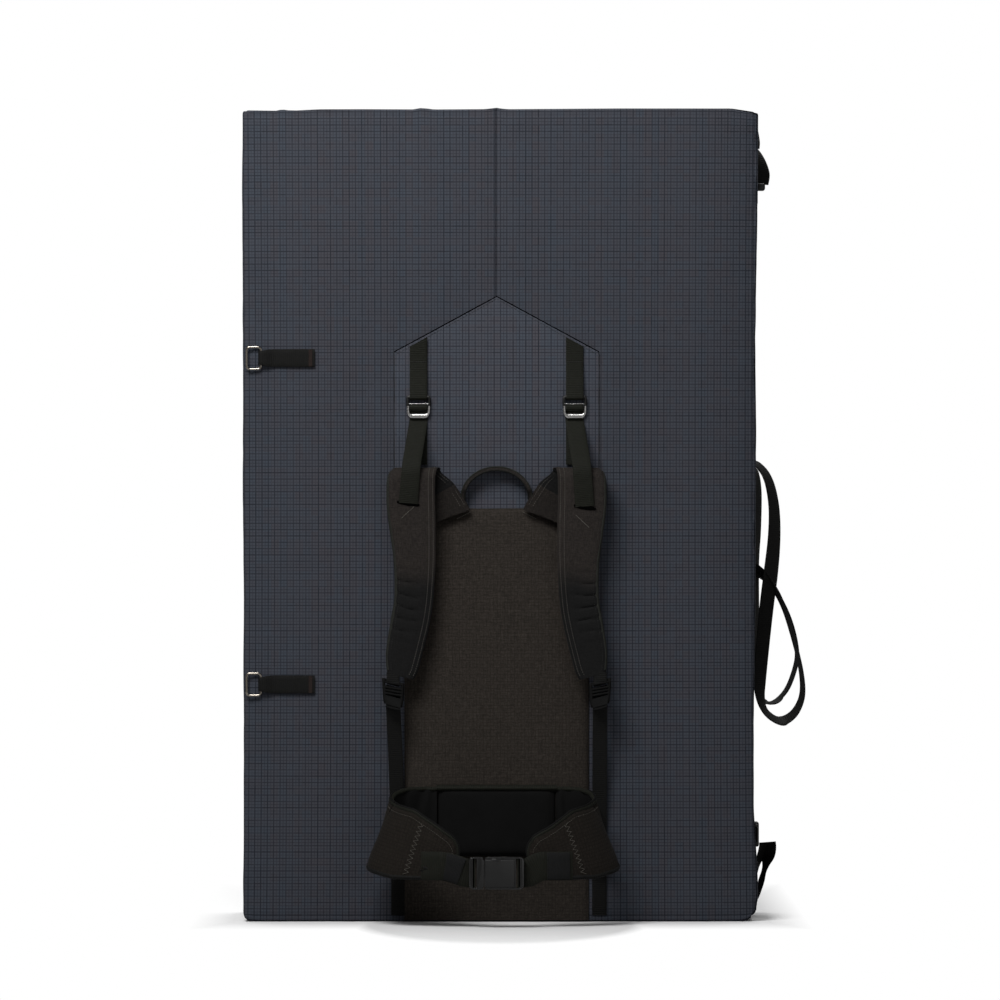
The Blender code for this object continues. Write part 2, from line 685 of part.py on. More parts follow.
def bar_buckle(name, finish, carrier, width, height, thickness, bar, slot, place, lean):
    """A flat buckle with three bars: its place is the middle of its top bar."""
    top = bar / 2
    body = box_mesh((-width / 2, -thickness / 2, top - height), (width / 2, thickness / 2, top), bar)
    opening = width - 2 * bar
    cutters = []
    turn = Matrix.Translation(place) @ Matrix.Rotation(lean, 4, "Y")
    for n in range(2):
        high = -top - n * (slot + bar)
        hole = box_mesh((-opening / 2, -thickness, high - slot), (opening / 2, thickness, high))
        bmesh.ops.transform(hole, matrix=turn, verts=hole.verts)
        cutters.append(publish(hole, f"{name}_slot_{n + 1}", None, carrier))
    bmesh.ops.transform(body, matrix=turn, verts=body.verts)
    cut(publish(body, name, finish, carrier), cutters)


def round_bar(thickness, bar):
    """How far from a square bar's middle webbing runs, so that it clears the bar's corners."""
    return hypot(thickness / 2, bar / 2) + LAYER_GAP + WEBBING_THICKNESS / 2


def threaded(thickness, bar, slot, below, tail):
    """Webbing's way through a bar buckle, as depth and height from its top bar: up behind the
    lower part, out over the middle bar, in again and down behind as a tail."""
    middle = -(bar + slot)
    around = round_bar(thickness, bar)
    back = thickness / 2 + LAYER_GAP + WEBBING_THICKNESS / 2
    behind = back + WEBBING_THICKNESS + LAYER_GAP
    path = [(back, below), (back, middle - bar / 2 - slot), (back * 0.8, middle - around - bar * 0.3)]
    for i in range(7):
        angle = radians(-90 - 30 * i)
        path.append((around * cos(angle), middle + around * sin(angle)))
    path += [(behind * 0.8, middle + around * 0.75), (behind, middle), (behind, middle - bar - slot),
             (behind, middle - tail)]
    return path


def bar_loop(bar_place, thickness, bar, top, back_top, width, lean=0.0, top_y=None, back_y=None):
    """Webbing that comes down in front of a bar, turns under it and goes up again behind it."""
    around = round_bar(thickness, bar)
    front = -around if top_y is None else top_y
    rear = around if back_y is None else back_y
    shape = [(front, top), (front, (top + around) / 2), (-around, around * 0.6)]
    for i in range(7):
        angle = pi * i / 6
        shape.append((-around * cos(angle), -around * sin(angle)))
    shape += [(rear, around * 1.2), (rear, back_top)]
    turn = Matrix.Translation(bar_place) @ Matrix.Rotation(lean, 4, "Y")
    path = [turn @ Vector((0, y, z)) for y, z in shape]
    across = [turn.to_3x3() @ Vector((1, 0, 0))] * len(path)
    return ribbon(path, [width] * len(path), WEBBING_THICKNESS, across)


def shoulder_strap(name, side):
    """A padded strap with its loop, ladder lock and adjusting webbing."""
    points, widths = strap_path(side)
    axis = name + "_shoulder_strap_axis"
    rear_y = STRAP_BACK_Y + STRAP_THICKNESS / 2
    pivot(axis, (HARNESS_X + side * STRAP_SPREAD, rear_y, STRAP_FOLD_Z))
    split = len(STRAP_BACK_SHARES)
    upright = Vector((0, 0, 1))
    for piece, low, high, meeting, carrier in (("_strap_yoke", 0, split + 1, -1, None),
                                               ("_shoulder_strap", split, len(points), 0, axis)):
        part_of = [p.copy() for p in points[low:high]]
        part_of[meeting].z += FIT_GAP / 2 if carrier else -FIT_GAP / 2
        headings = [Vector((0, along.y, along.z)) for along in tangents(part_of)]
        headings[meeting] = upright
        across = [Vector((1, 0, 0))] * len(part_of)
        bm = padded(part_of, widths[low:high], STRAP_THICKNESS, across, headings=headings)
        publish(bm, name + piece, "brown_fabric", carrier)

    lean = side * -LOCK_LEAN
    bar_place = Vector((HARNESS_X + side * LOCK_SPREAD, LOCK_Y, LOCK_TOP_BAR_Z))
    lock_axis = name + "_ladder_lock_axis"
    pivot(lock_axis, bar_place, axis)
    bar_buckle(name + "_ladder_lock", "black_plastic", lock_axis, LOCK_WIDTH, LOCK_HEIGHT, LOCK_THICKNESS,
               LOCK_BAR, LOCK_SLOT, bar_place, lean)
    end = points[-1].z - FIT_GAP - bar_place.z - ADJUST_WEBBING / 2 * sin(LOCK_LEAN)
    loop = bar_loop(bar_place, LOCK_THICKNESS, LOCK_BAR, end, end, ADJUST_WEBBING, lean)
    publish(loop, name + "_strap_loop", "black_webbing", axis)

    turn = Matrix.Translation(bar_place) @ Matrix.Rotation(lean, 4, "Y")
    shape = threaded(LOCK_THICKNESS, LOCK_BAR, LOCK_SLOT, -LOCK_HEIGHT, LOCK_TAIL)
    path = [turn @ Vector((0, y, z)) for y, z in shape]
    foot_x = HARNESS_X + side * (PANEL_HALF_WIDTH + FIT_GAP + NARROW_WEBBING / 2)
    foot_z = ADJUST_FOOT
    lower = []
    for share in ADJUST_SHARES:
        z = foot_z + (path[0].z - foot_z) * share
        rest = face_y(foot_x, z) - FIT_GAP - WEBBING_THICKNESS / 2
        reach = max(0, share - ADJUST_SHARES[1]) / (1 - ADJUST_SHARES[1])
        lower.append(Vector((foot_x + (path[0].x - foot_x) * reach ** 2,
                             rest + (path[0].y - rest) * reach ** 2, z)))
    across = [Vector((1, 0, 0))] * len(lower) + [turn.to_3x3() @ Vector((1, 0, 0))] * len(path)
    path = lower + path
    publish(ribbon(path, [ADJUST_WEBBING] * len(path), WEBBING_THICKNESS, across),
            name + "_adjust_webbing", "black_webbing")


def load_lifter(name, side):
    """The webbing from the seam above, its metal buckle and the webbing down to the strap."""
    bar_y = face_y(0, LIFTER_TOP_BAR_Z) - 2 * FIT_GAP - CHEVRON_THICKNESS
    back_y = bar_y - WEBBING_THICKNESS / 2
    front_y = back_y - WEBBING_THICKNESS - LAYER_GAP
    bar_y -= LIFTER_BUCKLE_THICKNESS / 2 + 2 * (WEBBING_THICKNESS + LAYER_GAP)
    bar_place = Vector((HARNESS_X + side * LIFTER_SPREAD, bar_y, LIFTER_TOP_BAR_Z))
    axis = name + "_lifter_buckle_axis"
    pivot(axis, bar_place)
    bar_buckle(name + "_lifter_buckle", "steel", axis, LIFTER_BUCKLE_WIDTH, LIFTER_BUCKLE_HEIGHT,
               LIFTER_BUCKLE_THICKNESS, LIFTER_BAR, LIFTER_SLOT, bar_place, 0)
    seam = CHEVRON_CORNER_HEIGHT + CHEVRON_RISE * (1 - LIFTER_SPREAD / CHEVRON_HALF_WIDTH)
    upper = bar_loop(bar_place, LIFTER_BUCKLE_THICKNESS, LIFTER_BAR, seam - bar_place.z - NARROW_WEBBING / 2,
                     LIFTER_FOLDED_BACK, LIFTER_WEBBING, 0, front_y - bar_y, back_y - bar_y)
    publish(upper, name + "_lifter_webbing", "webbing")

    shape = threaded(LIFTER_BUCKLE_THICKNESS, LIFTER_BAR, LIFTER_SLOT, -LIFTER_BUCKLE_HEIGHT, LIFTER_TAIL)
    path = [bar_place + Vector((0, y, z)) for y, z in shape]
    path[-1].x += -side * LIFTER_OVER_FOLD
    front = STRAP_FRONT_Y - STRAP_THICKNESS / 2 - FIT_GAP - WEBBING_THICKNESS / 2
    end = Vector((HARNESS_X + side * LIFTER_END_SPREAD, front, LIFTER_END_Z))
    fold = Vector((HARNESS_X + side * (LIFTER_END_SPREAD + LIFTER_SPREAD) / 2, front - WEBBING_THICKNESS,
                   STRAP_TOP + LIFTER_OVER_FOLD))
    lower = [end, end.lerp(fold, 0.55), fold, fold.lerp(path[0], 0.5)]
    path = lower + path
    publish(ribbon(path, [LIFTER_WEBBING] * len(path), WEBBING_THICKNESS, [Vector((1, 0, 0))] * len(path)),
            name + "_lifter_strap", "webbing")


# Hip belt
LUMBAR_BACK_Y = panel_front(0, LUMBAR_Z + LUMBAR_HEIGHT / 2) - FIT_GAP


def lumbar_pad():
    """The belt's padded middle, against the harness panel."""
    bm = box_mesh((HARNESS_X - LUMBAR_HALF_WIDTH, LUMBAR_BACK_Y - LUMBAR_THICKNESS,
                   LUMBAR_Z - LUMBAR_HEIGHT / 2),
                  (HARNESS_X + LUMBAR_HALF_WIDTH, LUMBAR_BACK_Y, LUMBAR_Z + LUMBAR_HEIGHT / 2), LUMBAR_ROUND)
    publish(bm, "lumbar_pad", "black_fabric")


def wing_path(side):
    """A belt wing's middle line, out from the lumbar pad and round towards the buckle."""
    start = LUMBAR_BACK_Y - LUMBAR_THICKNESS / 2
    coarse = [Vector((HARNESS_X + side * reach * WING_REACH, start - forward * WING_FORWARD, 0))
              for reach, forward in WING_SHARES]
    curve = smooth_path(coarse, 2)
    curve[0].x = HARNESS_X + side * (LUMBAR_HALF_WIDTH + FIT_GAP)
    count = len(curve) - 1
    for n, point in enumerate(curve):
        share = max(0, n / count - WING_LEVEL_SHARE) / (1 - WING_LEVEL_SHARE)
        point.z = LUMBAR_Z - WING_DROOP * share ** WING_DROOP_POWER
    return curve


def wing_frame(curve, side):
    """The upright direction and height of a wing at each point, flared outwards below."""
    count = len(curve) - 1
    ups, heights = [], []
    for n, along in enumerate(tangents(curve)):
        share = n / count
        outward = along.cross(Vector((0, 0, 1))).normalized() * -side
        flare = WING_FLARE * abs(outward.x)
        ups.append(Vector((0, 0, cos(flare))) - outward * sin(flare))
        taper = max(0, share - WING_TAPER_SHARE) / (1 - WING_TAPER_SHARE)
        heights.append(WING_HEIGHT + (WING_END_HEIGHT - WING_HEIGHT) * taper)
    return ups, heights


def belt_wing(name, side):
    """A padded belt wing."""
    curve = wing_path(side)
    ups, heights = wing_frame(curve, side)
    publish(padded(curve, heights, WING_THICKNESS, ups), name + "_belt_wing", "brown_fabric")


def belt_webbing(name, side, bar_x, bar_width, slot_width):
    """Webbing from the outer face of a wing to its bar of the buckle."""
    curve = wing_path(side)
    ups, _ = wing_frame(curve, side)
    count = len(curve) - 1
    proud = WING_THICKNESS / 2 + 2 * LAYER_GAP + WEBBING_THICKNESS / 2
    path, across = [], []
    for n, (point, along) in enumerate(zip(curve, tangents(curve))):
        if n / count >= BELT_OVERLAP_SHARE:
            outward = along.cross(Vector((0, 0, 1))).normalized() * -side
            path.append(point + outward * proud)
            across.append(ups[n])
    behind_bar = Vector((bar_x, BUCKLE_THICKNESS / 2 + FIT_GAP + WEBBING_THICKNESS / 2 - BUCKLE_FORWARD,
                         BUCKLE_Z))
    inward = Vector((-side, 0, 0))
    in_slot = behind_bar + inward * (bar_width + slot_width / 2)
    path += [path[-1].lerp(behind_bar, BELT_BEND_SHARE), behind_bar - inward * bar_width,
             behind_bar + inward * bar_width, in_slot + Vector((0, -WEBBING_THICKNESS, 0)),
             in_slot + Vector((0, -BUCKLE_THICKNESS, 0))]
    across += [Vector((0, 0, 1))] * (len(path) - len(across))
    bm = ribbon(path, [BELT_WEBBING] * len(path), WEBBING_THICKNESS, across)
    publish(bm, name + "_belt_webbing", "webbing")


BUCKLE_LEFT = HARNESS_X - BUCKLE_LENGTH / 2
BUCKLE_RIGHT = HARNESS_X + BUCKLE_LENGTH / 2
SOCKET_LEFT = BUCKLE_RIGHT - SOCKET_LENGTH
SOCKET_INNER_END = BUCKLE_RIGHT - SOCKET_BAR - SOCKET_WEB_SLOT - BUCKLE_WALL
HEAD_LEFT = SOCKET_LEFT + PRONG_LENGTH - PRONG_HEAD
CAVITY_HALF_HEIGHT = BUCKLE_HEIGHT / 2 - BUCKLE_WALL
CAVITY_HALF_DEPTH = BUCKLE_THICKNESS / 2 - BUCKLE_WALL


def buckle_box(x0, x1, half_depth, z0, z1, corner=0.0):
    """A box placed from the buckle's middle."""
    return box_mesh((x0, -BUCKLE_FORWARD - half_depth, BUCKLE_Z + z0),
                    (x1, -BUCKLE_FORWARD + half_depth, BUCKLE_Z + z1), corner)


def belt_buckle():
    """The side-release buckle: hollow socket, plug and two sprung prongs."""
    pivot("buckle_plug_axis", (BUCKLE_LEFT, -BUCKLE_FORWARD, BUCKLE_Z))
    tall = BUCKLE_HEIGHT / 2
    socket = publish(buckle_box(SOCKET_LEFT, BUCKLE_RIGHT, BUCKLE_THICKNESS / 2, -tall, tall, BUCKLE_CORNER),
                     "buckle_socket", "black_plastic")
    web_slot_right = BUCKLE_RIGHT - SOCKET_BAR
    cutters = [
        buckle_box(SOCKET_LEFT - BUCKLE_WALL, SOCKET_INNER_END, CAVITY_HALF_DEPTH,
                   -CAVITY_HALF_HEIGHT, CAVITY_HALF_HEIGHT),
        buckle_box(web_slot_right - SOCKET_WEB_SLOT, web_slot_right, BUCKLE_THICKNESS,
                   -BELT_WEBBING / 2 - FIT_GAP, BELT_WEBBING / 2 + FIT_GAP),
        buckle_box(HEAD_LEFT - FIT_GAP, HEAD_LEFT + PRONG_HEAD + FIT_GAP, PRONG_THICKNESS / 2 + FIT_GAP,
                   -BUCKLE_HEIGHT, BUCKLE_HEIGHT),
    ]
    cut(socket, [publish(bm, f"buckle_socket_cut_{n}", None) for n, bm in enumerate(cutters)])

    plug_right = SOCKET_LEFT - FIT_GAP
    plug = publish(buckle_box(BUCKLE_LEFT, plug_right, BUCKLE_THICKNESS / 2, -tall, tall, BUCKLE_CORNER),
                   "buckle_plug", "black_plastic", "buckle_plug_axis")
    web_slot = buckle_box(BUCKLE_LEFT + PLUG_BAR, BUCKLE_LEFT + PLUG_BAR + PLUG_SLOT, BUCKLE_THICKNESS,
                          -BELT_WEBBING / 2 - FIT_GAP, BELT_WEBBING / 2 + FIT_GAP)
    cut(plug, [publish(web_slot, "buckle_plug_slot", None, "buckle_plug_axis")])
    tongue = buckle_box(plug_right - BUCKLE_WALL, plug_right + TONGUE_LENGTH, TONGUE_THICKNESS / 2,
                        -TONGUE_HEIGHT / 2, TONGUE_HEIGHT / 2)
    joined = plug.modifiers.new("tongue", "BOOLEAN")
    joined.operation = "UNION"
    joined.solver = "EXACT"
    joined.object = publish(tongue, "buckle_plug_tongue", None, "buckle_plug_axis")
    joined.object.hide_render = True
    joined.object.display_type = "WIRE"

    for name, side in (("upper", 1), ("lower", -1)):
        head_z = side * (CAVITY_HALF_HEIGHT - FIT_GAP)
        arm_z = head_z - side * PRONG_STEP
        arm_low = arm_z - side * PRONG_ARM
        left = plug_right + FIT_GAP
        outline = [
            (left, arm_low), (HEAD_LEFT + PRONG_HEAD, arm_low), (HEAD_LEFT + PRONG_HEAD, head_z),
            (HEAD_LEFT, head_z), (HEAD_LEFT, arm_z), (left, arm_z),
        ]
        bm = bmesh.new()
        near, far = ([bm.verts.new((x, y, BUCKLE_Z + z)) for x, z in outline]
                     for y in (-BUCKLE_FORWARD - PRONG_THICKNESS / 2, -BUCKLE_FORWARD + PRONG_THICKNESS / 2))
        bm.faces.new(near)
        bm.faces.new(far)
        for i in range(len(outline)):
            j = (i + 1) % len(outline)
            bm.faces.new((near[i], near[j], far[j], far[i]))
        axis = f"{name}_prong_axis"
        pivot(axis, (left, -BUCKLE_FORWARD, BUCKLE_Z + (arm_z + arm_low) / 2), "buckle_plug_axis")
        publish(bm, name + "_prong", "black_plastic", axis)


def ring_and_tab(name, height):
    """A wire ring lying on the pad, and the webbing tab that holds it."""
    half_l, half_h = RING_LENGTH / 2 - RING_WIRE / 2, RING_HEIGHT / 2 - RING_WIRE / 2
    bar_x = RING_X + half_l
    rounding = RING_WIRE / 2 + LAYER_GAP + WEBBING_THICKNESS / 2
    under = face_y(bar_x + 2 * rounding, height) - FIT_GAP - WEBBING_THICKNESS / 2
    ring_y = under - rounding
    centre = Vector((RING_X, ring_y, height))
    path = []
    for quarter, (sx, sz) in enumerate(((1, 1), (-1, 1), (-1, -1), (1, -1))):
        hub = centre + Vector((sx * (half_l - RING_CORNER), 0, sz * (half_h - RING_CORNER)))
        for i in range(4):
            angle = pi / 2 * (quarter + i / 3)
            path.append(hub + RING_CORNER * Vector((cos(angle), 0, sin(angle))))
    sections = []
    for point, along in zip(path, tangents(path, closed=True)):
        normal = along.cross(Vector((0, 1, 0))).normalized()
        depth = Vector((0, 1, 0))
        turns = [2 * pi * k / RING_SIDES for k in range(RING_SIDES)]
        sections.append([point + RING_WIRE / 2 * (normal * cos(turn) + depth * sin(turn)) for turn in turns])
    axis = name + "_ring_axis"
    pivot(axis, (bar_x, ring_y, height))
    publish(sweep(sections, closed=True), name + "_ring", "steel", axis)

    rest = FIT_GAP + WEBBING_THICKNESS / 2
    apart = WEBBING_THICKNESS + LAYER_GAP
    width = RING_HEIGHT - 2 * RING_CORNER - 4 * FIT_GAP
    folded_x = bar_x + TAB_FOLDED_BACK
    path = [Vector((folded_x, face_y(folded_x, height) - rest, height)),
            Vector((bar_x + 2 * rounding, under, height))]
    for i in range(7):
        angle = pi * (0.5 + i / 6)
        path.append(Vector((bar_x + rounding * cos(angle), ring_y + rounding * sin(angle), height)))
    path.append(Vector((bar_x + rounding * 2, ring_y - rounding * 0.8, height)))
    for share in TAB_OVER_SHARES:
        x = bar_x + TAB_LENGTH * share
        path.append(Vector((x, face_y(x, height) - rest - apart, height)))
    narrow = len(path) - len(TAB_OVER_SHARES)
    widths = [width] * narrow + [TAB_WEBBING] * len(TAB_OVER_SHARES)
    across = [Vector((0, 0, 1))] * len(path)
    publish(ribbon(path, widths, WEBBING_THICKNESS, across), name + "_ring_tab", "black_webbing")


def carry_handle(half, carrier):
    """A limp webbing loop that hangs from two places on a half's side."""
    middle_y = shape_y(0, half)
    coarse, turns = [], []
    for out, down, deep, turn in HANDLE_SHARES:
        z = HANDLE_TOP_Z - down * HANDLE_DROP
        coarse.append(Vector((side_x(z) + FIT_GAP + out * HANDLE_REACH, middle_y + deep * HANDLE_DEPTH, z)))
        turns.append(radians(turn))
    axis = half + "_carry_handle_axis"
    pivot(axis, (coarse[0].x, middle_y, HANDLE_TOP_Z), carrier)
    depth = Vector((0, 1, 0))
    across = [along.cross(depth) * cos(turn) + depth * sin(turn)
              for along, turn in zip(tangents(coarse), turns)]
    ends = [HANDLE_END_WEBBING] * 2
    widths = ends + [HANDLE_WEBBING] * (len(coarse) - 2 * len(ends)) + ends
    bm = ribbon(coarse, widths, WEBBING_THICKNESS, across)
    publish(bm, half + "_carry_handle", "black_webbing", axis)


def closure(name, height):
    """A strap on the front half that reaches over the seam, with its hook, slack tail and anchor."""
    upward = 1 if name == "upper" else -1
    side = side_x(height) + FIT_GAP
    seam = FOLD_AXIS.y
    strap_x = side + WEBBING_THICKNESS / 2
    strap_high = seam + CLOSURE_STRAP_LENGTH
    tail = []
    for out, along in CLOSURE_TAIL_SHARES:
        z = height + upward * (along * CLOSURE_TAIL_DROP + CLOSURE_WEBBING / 2 + FIT_GAP)
        tail.append(Vector((side_x(z) + FIT_GAP + WEBBING_THICKNESS / 2 + out * CLOSURE_TAIL_REACH,
                            strap_high - CLOSURE_WEBBING / 2, z)))
    publish(ribbon(tail, [CLOSURE_WEBBING] * len(tail), WEBBING_THICKNESS, [Vector((0, 1, 0))] * len(tail)),
            name + "_closure_tail", "black_webbing", "fold_axis")
    strap = [Vector((strap_x, strap_high, height)), Vector((strap_x, seam + CLOSURE_FOLD, height))]
    publish(ribbon(strap, [CLOSURE_WEBBING] * 2, WEBBING_THICKNESS, [Vector((0, 0, 1))] * 2),
            name + "_closure_strap", "black_webbing", "fold_axis")

    hinge_y = seam + CLOSURE_FOLD - FIT_GAP
    plate_x = side + ANCHOR_HEIGHT
    axis = name + "_closure_hook_axis"
    pivot(axis, (side + HOOK_THICKNESS, hinge_y, height), "fold_axis")
    half_w = HOOK_WIDTH / 2
    tip_y = hinge_y - HOOK_LENGTH
    profile = [
        (side, hinge_y), (side + HOOK_THICKNESS, hinge_y),
        (plate_x + HOOK_THICKNESS, hinge_y - ANCHOR_HEIGHT),
        (plate_x + HOOK_THICKNESS, tip_y), (side + FIT_GAP, tip_y), (side + FIT_GAP, tip_y + HOOK_THICKNESS),
        (plate_x, tip_y + HOOK_THICKNESS), (plate_x, hinge_y - ANCHOR_HEIGHT),
    ]
    bm = bmesh.new()
    low, high = ([bm.verts.new((x, y, height + z)) for x, y in profile] for z in (-half_w, half_w))
    bm.faces.new(low)
    bm.faces.new(high)
    for i in range(len(profile)):
        j = (i + 1) % len(profile)
        bm.faces.new((low[i], low[j], high[j], high[i]))
    publish(bm, name + "_closure_hook", "steel", axis)

    low_x = side + WEBBING_THICKNESS + FIT_GAP
    high_x = plate_x - LAYER_GAP * 2
    window_low = tip_y - WEBBING_THICKNESS - LAYER_GAP * 2
    window_high = tip_y + HOOK_THICKNESS + FIT_GAP
    window_half = half_w + FIT_GAP
    bar = box_mesh((low_x, window_low - ANCHOR_RAIL, height - window_half - ANCHOR_RAIL),
                   (high_x, window_high + ANCHOR_RAIL, height + window_half + ANCHOR_RAIL))
    window = box_mesh((low_x - ANCHOR_RAIL, window_low, height - window_half),
                      (high_x + ANCHOR_RAIL, window_high, height + window_half))
    cut(publish(bar, name + "_closure_bar", "steel"), [publish(window, name + "_closure_window", None)])

    flat_x = side + WEBBING_THICKNESS / 2
    over_x = high_x + LAYER_GAP + WEBBING_THICKNESS / 2
    nose_y = window_low + LAYER_GAP + WEBBING_THICKNESS / 2
    turn = WEBBING_THICKNESS / 2
    path = [(flat_x, window_low - ANCHOR_LENGTH), (flat_x, nose_y - turn), (flat_x + turn, nose_y),
            (over_x - turn, nose_y), (over_x, nose_y - turn), (over_x, window_low - ANCHOR_FOLDED_BACK)]
    path = [Vector((x, y, height)) for x, y in path]
    publish(ribbon(path, [ANCHOR_WIDTH] * len(path), WEBBING_THICKNESS, [Vector((0, 0, 1))] * len(path)),
            name + "_closure_anchor", "black_webbing")


for half_name in ("back", "front"):
    pad_half(half_name)
hinge_fabric()
harness_panel()
chevron_panel()
haul_handle()
for side_name, hand in (("left", -1), ("right", 1)):
    shoulder_strap(side_name, hand)
    load_lifter(side_name, hand)
    belt_wing(side_name, hand)
lumbar_pad()
belt_buckle()
belt_webbing("left", -1, BUCKLE_LEFT, PLUG_BAR, PLUG_SLOT)
belt_webbing("right", 1, BUCKLE_RIGHT, SOCKET_BAR, SOCKET_WEB_SLOT)
for level, height in RING_HEIGHTS.items():
    ring_and_tab(level, height)
carry_handle("back", None)
carry_handle("front", "fold_axis")
for level, height in CLOSURE_Z.items():
    closure(level, height)
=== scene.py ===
import json
import math

import bpy
import numpy as np
from mathutils import Matrix, Vector, noise

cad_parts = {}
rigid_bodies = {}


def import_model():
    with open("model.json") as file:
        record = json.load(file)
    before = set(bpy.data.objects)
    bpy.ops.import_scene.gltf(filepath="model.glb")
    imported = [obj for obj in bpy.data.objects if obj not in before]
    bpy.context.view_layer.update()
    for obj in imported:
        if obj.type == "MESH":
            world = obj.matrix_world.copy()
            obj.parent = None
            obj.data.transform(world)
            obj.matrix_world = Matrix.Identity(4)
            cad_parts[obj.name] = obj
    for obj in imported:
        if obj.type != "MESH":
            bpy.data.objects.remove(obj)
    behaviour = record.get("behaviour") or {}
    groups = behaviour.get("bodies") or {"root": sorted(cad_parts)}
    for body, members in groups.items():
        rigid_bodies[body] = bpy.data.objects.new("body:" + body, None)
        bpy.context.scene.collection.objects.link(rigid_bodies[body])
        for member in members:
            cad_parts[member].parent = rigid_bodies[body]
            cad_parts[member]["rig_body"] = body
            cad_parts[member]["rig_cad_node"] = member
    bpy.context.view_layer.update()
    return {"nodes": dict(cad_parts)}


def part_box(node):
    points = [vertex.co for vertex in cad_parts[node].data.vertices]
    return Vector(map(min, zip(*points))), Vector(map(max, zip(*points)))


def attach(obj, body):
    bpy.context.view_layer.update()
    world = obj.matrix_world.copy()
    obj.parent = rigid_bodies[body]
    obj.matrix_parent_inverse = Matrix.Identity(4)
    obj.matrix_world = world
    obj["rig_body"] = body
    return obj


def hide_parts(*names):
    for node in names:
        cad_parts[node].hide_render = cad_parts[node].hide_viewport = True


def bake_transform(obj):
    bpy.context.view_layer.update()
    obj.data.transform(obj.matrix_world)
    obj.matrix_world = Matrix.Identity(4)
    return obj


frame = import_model()

MM = 0.001
OUTWARD = Vector((0, -1, 0))
UP = Vector((0, 0, 1))
RIGHT = Vector((1, 0, 0))

# Driving sizes: the part boxes read from the frame, the rest given
COVER_LOW, COVER_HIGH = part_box("back_cover")
PANEL_LOW, PANEL_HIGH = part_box("harness_panel")
CHEVRON_LOW, CHEVRON_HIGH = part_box("chevron_panel")
HALF_WIDTH = 655 * MM / 2
HEIGHT = 1040 * MM
FACE_Y = -50 * MM
INNER_Y = 50 * MM
CROWN = 5 * MM
DRAW_IN = 2.5 * MM
FRONT_SHIFT = 103 * MM
WEB = 1.4 * MM
GAP = 0.3 * MM
HARNESS_X = -5 * MM
PANEL_HALF = 118 * MM
PANEL_TOP = 530 * MM
PANEL_SHOULDER = 30 * MM
PANEL_TOP_HALF = 37 * MM
PANEL_FOOT = 2 * MM


# Surfaces that the soft pieces lie on
def crown_at(x, z):
    u = min(1, abs(x) / HALF_WIDTH)
    v = min(1, abs(z - HEIGHT / 2) / (HEIGHT / 2))
    return CROWN * (1 - u ** 4) * (1 - v ** 4)


def face_y(x, z):
    return FACE_Y - crown_at(x, z)


def side_x(z):
    v = min(1, abs(z - HEIGHT / 2) / (HEIGHT / 2))
    return HALF_WIDTH - DRAW_IN * (1 - v ** 2)


def panel_top(x):
    over = max(0, abs(x) - PANEL_TOP_HALF) / (PANEL_HALF - PANEL_TOP_HALF)
    return PANEL_TOP - over * PANEL_SHOULDER


def panel_puff(s, t):
    return 4.5 * MM + 8 * MM * (1 - abs(s) ** 4) * (1 - abs(t) ** 6)


def panel_front(x, z):
    """The harness panel's face, x measured from its middle."""
    share = (z - PANEL_FOOT) / (panel_top(x) - PANEL_FOOT)
    t = max(-1, min(1, 2 * share - 1))
    return face_y(HARNESS_X + x, z) - GAP - panel_puff(x / PANEL_HALF, t)


# Paths
def smooth(points, steps):
    """A smooth curve through the points."""
    points = [Vector(p) for p in points]
    full = [points[0] * 2 - points[1], *points, points[-1] * 2 - points[-2]]
    curve = []
    for a, b, c, d in zip(full, full[1:], full[2:], full[3:]):
        for i in range(steps):
            t = i / steps
            curve.append(0.5 * (2 * b + (c - a) * t + (2 * a - 5 * b + 4 * c - d) * t ** 2
                                + (3 * b - 3 * c + d - a) * t ** 3))
    return [*curve, points[-1]]


def even(points, step, ways):
    """The same path with points a step apart, and the way out of it at each."""
    points = [Vector(p) for p in points]
    far = [0.0]
    for a, b in zip(points, points[1:]):
        far.append(far[-1] + (b - a).length)
    count = max(1, round(far[-1] / step))
    marks = [far[-1] * i / count for i in range(count + 1)]
    axes = [np.interp(marks, far, [p[k] for p in points]) for k in range(3)]
    outs = [np.interp(marks, far, [w[k] for w in ways]) for k in range(3)]
    return [Vector(p) for p in zip(*axes)], [Vector(w).normalized() for w in zip(*outs)]


def headings(points):
    found = []
    for i in range(len(points)):
        before, after = points[max(0, i - 1)], points[min(len(points) - 1, i + 1)]
        found.append((after - before).normalized())
    return found


# Mesh making
def alone(obj):
    bpy.ops.object.select_all(action="DESELECT")
    obj.select_set(True)
    bpy.context.view_layer.objects.active = obj


def add_map(obj, uvs):
    """Gives the mesh its own map, in metres, from a place for each vertex."""
    mesh = obj.data
    layer = mesh.uv_layers.active or mesh.uv_layers.new(name="cut")
    layer.name = "cut"
    corner_vertex = np.empty(len(mesh.loops), int)
    mesh.loops.foreach_get("vertex_index", corner_vertex)
    layer.data.foreach_set("uv", np.asarray(uvs, float)[corner_vertex].reshape(-1))


def sheet_of(name, rows):
    """A grid laid through rows of points, with a map of metres across and along."""
    bpy.ops.object.select_all(action="DESELECT")
    across, along = len(rows[0]), len(rows)
    bpy.ops.mesh.primitive_grid_add(x_subdivisions=across - 1, y_subdivisions=along - 1, size=1)
    obj = bpy.context.object
    obj.name = obj.data.name = name
    places = np.array([[list(p) for p in row] for row in rows])
    obj.data.vertices.foreach_set("co", places.reshape(-1))
    wide = np.linalg.norm(np.diff(places, axis=1), axis=2).mean(0)
    deep = np.linalg.norm(np.diff(places, axis=0), axis=2).mean(1)
    u = np.concatenate([[0], np.cumsum(wide)])
    v = np.concatenate([[0], np.cumsum(deep)])
    add_map(obj, np.array([[(a, b) for a in u] for b in v]).reshape(-1, 2))
    return obj


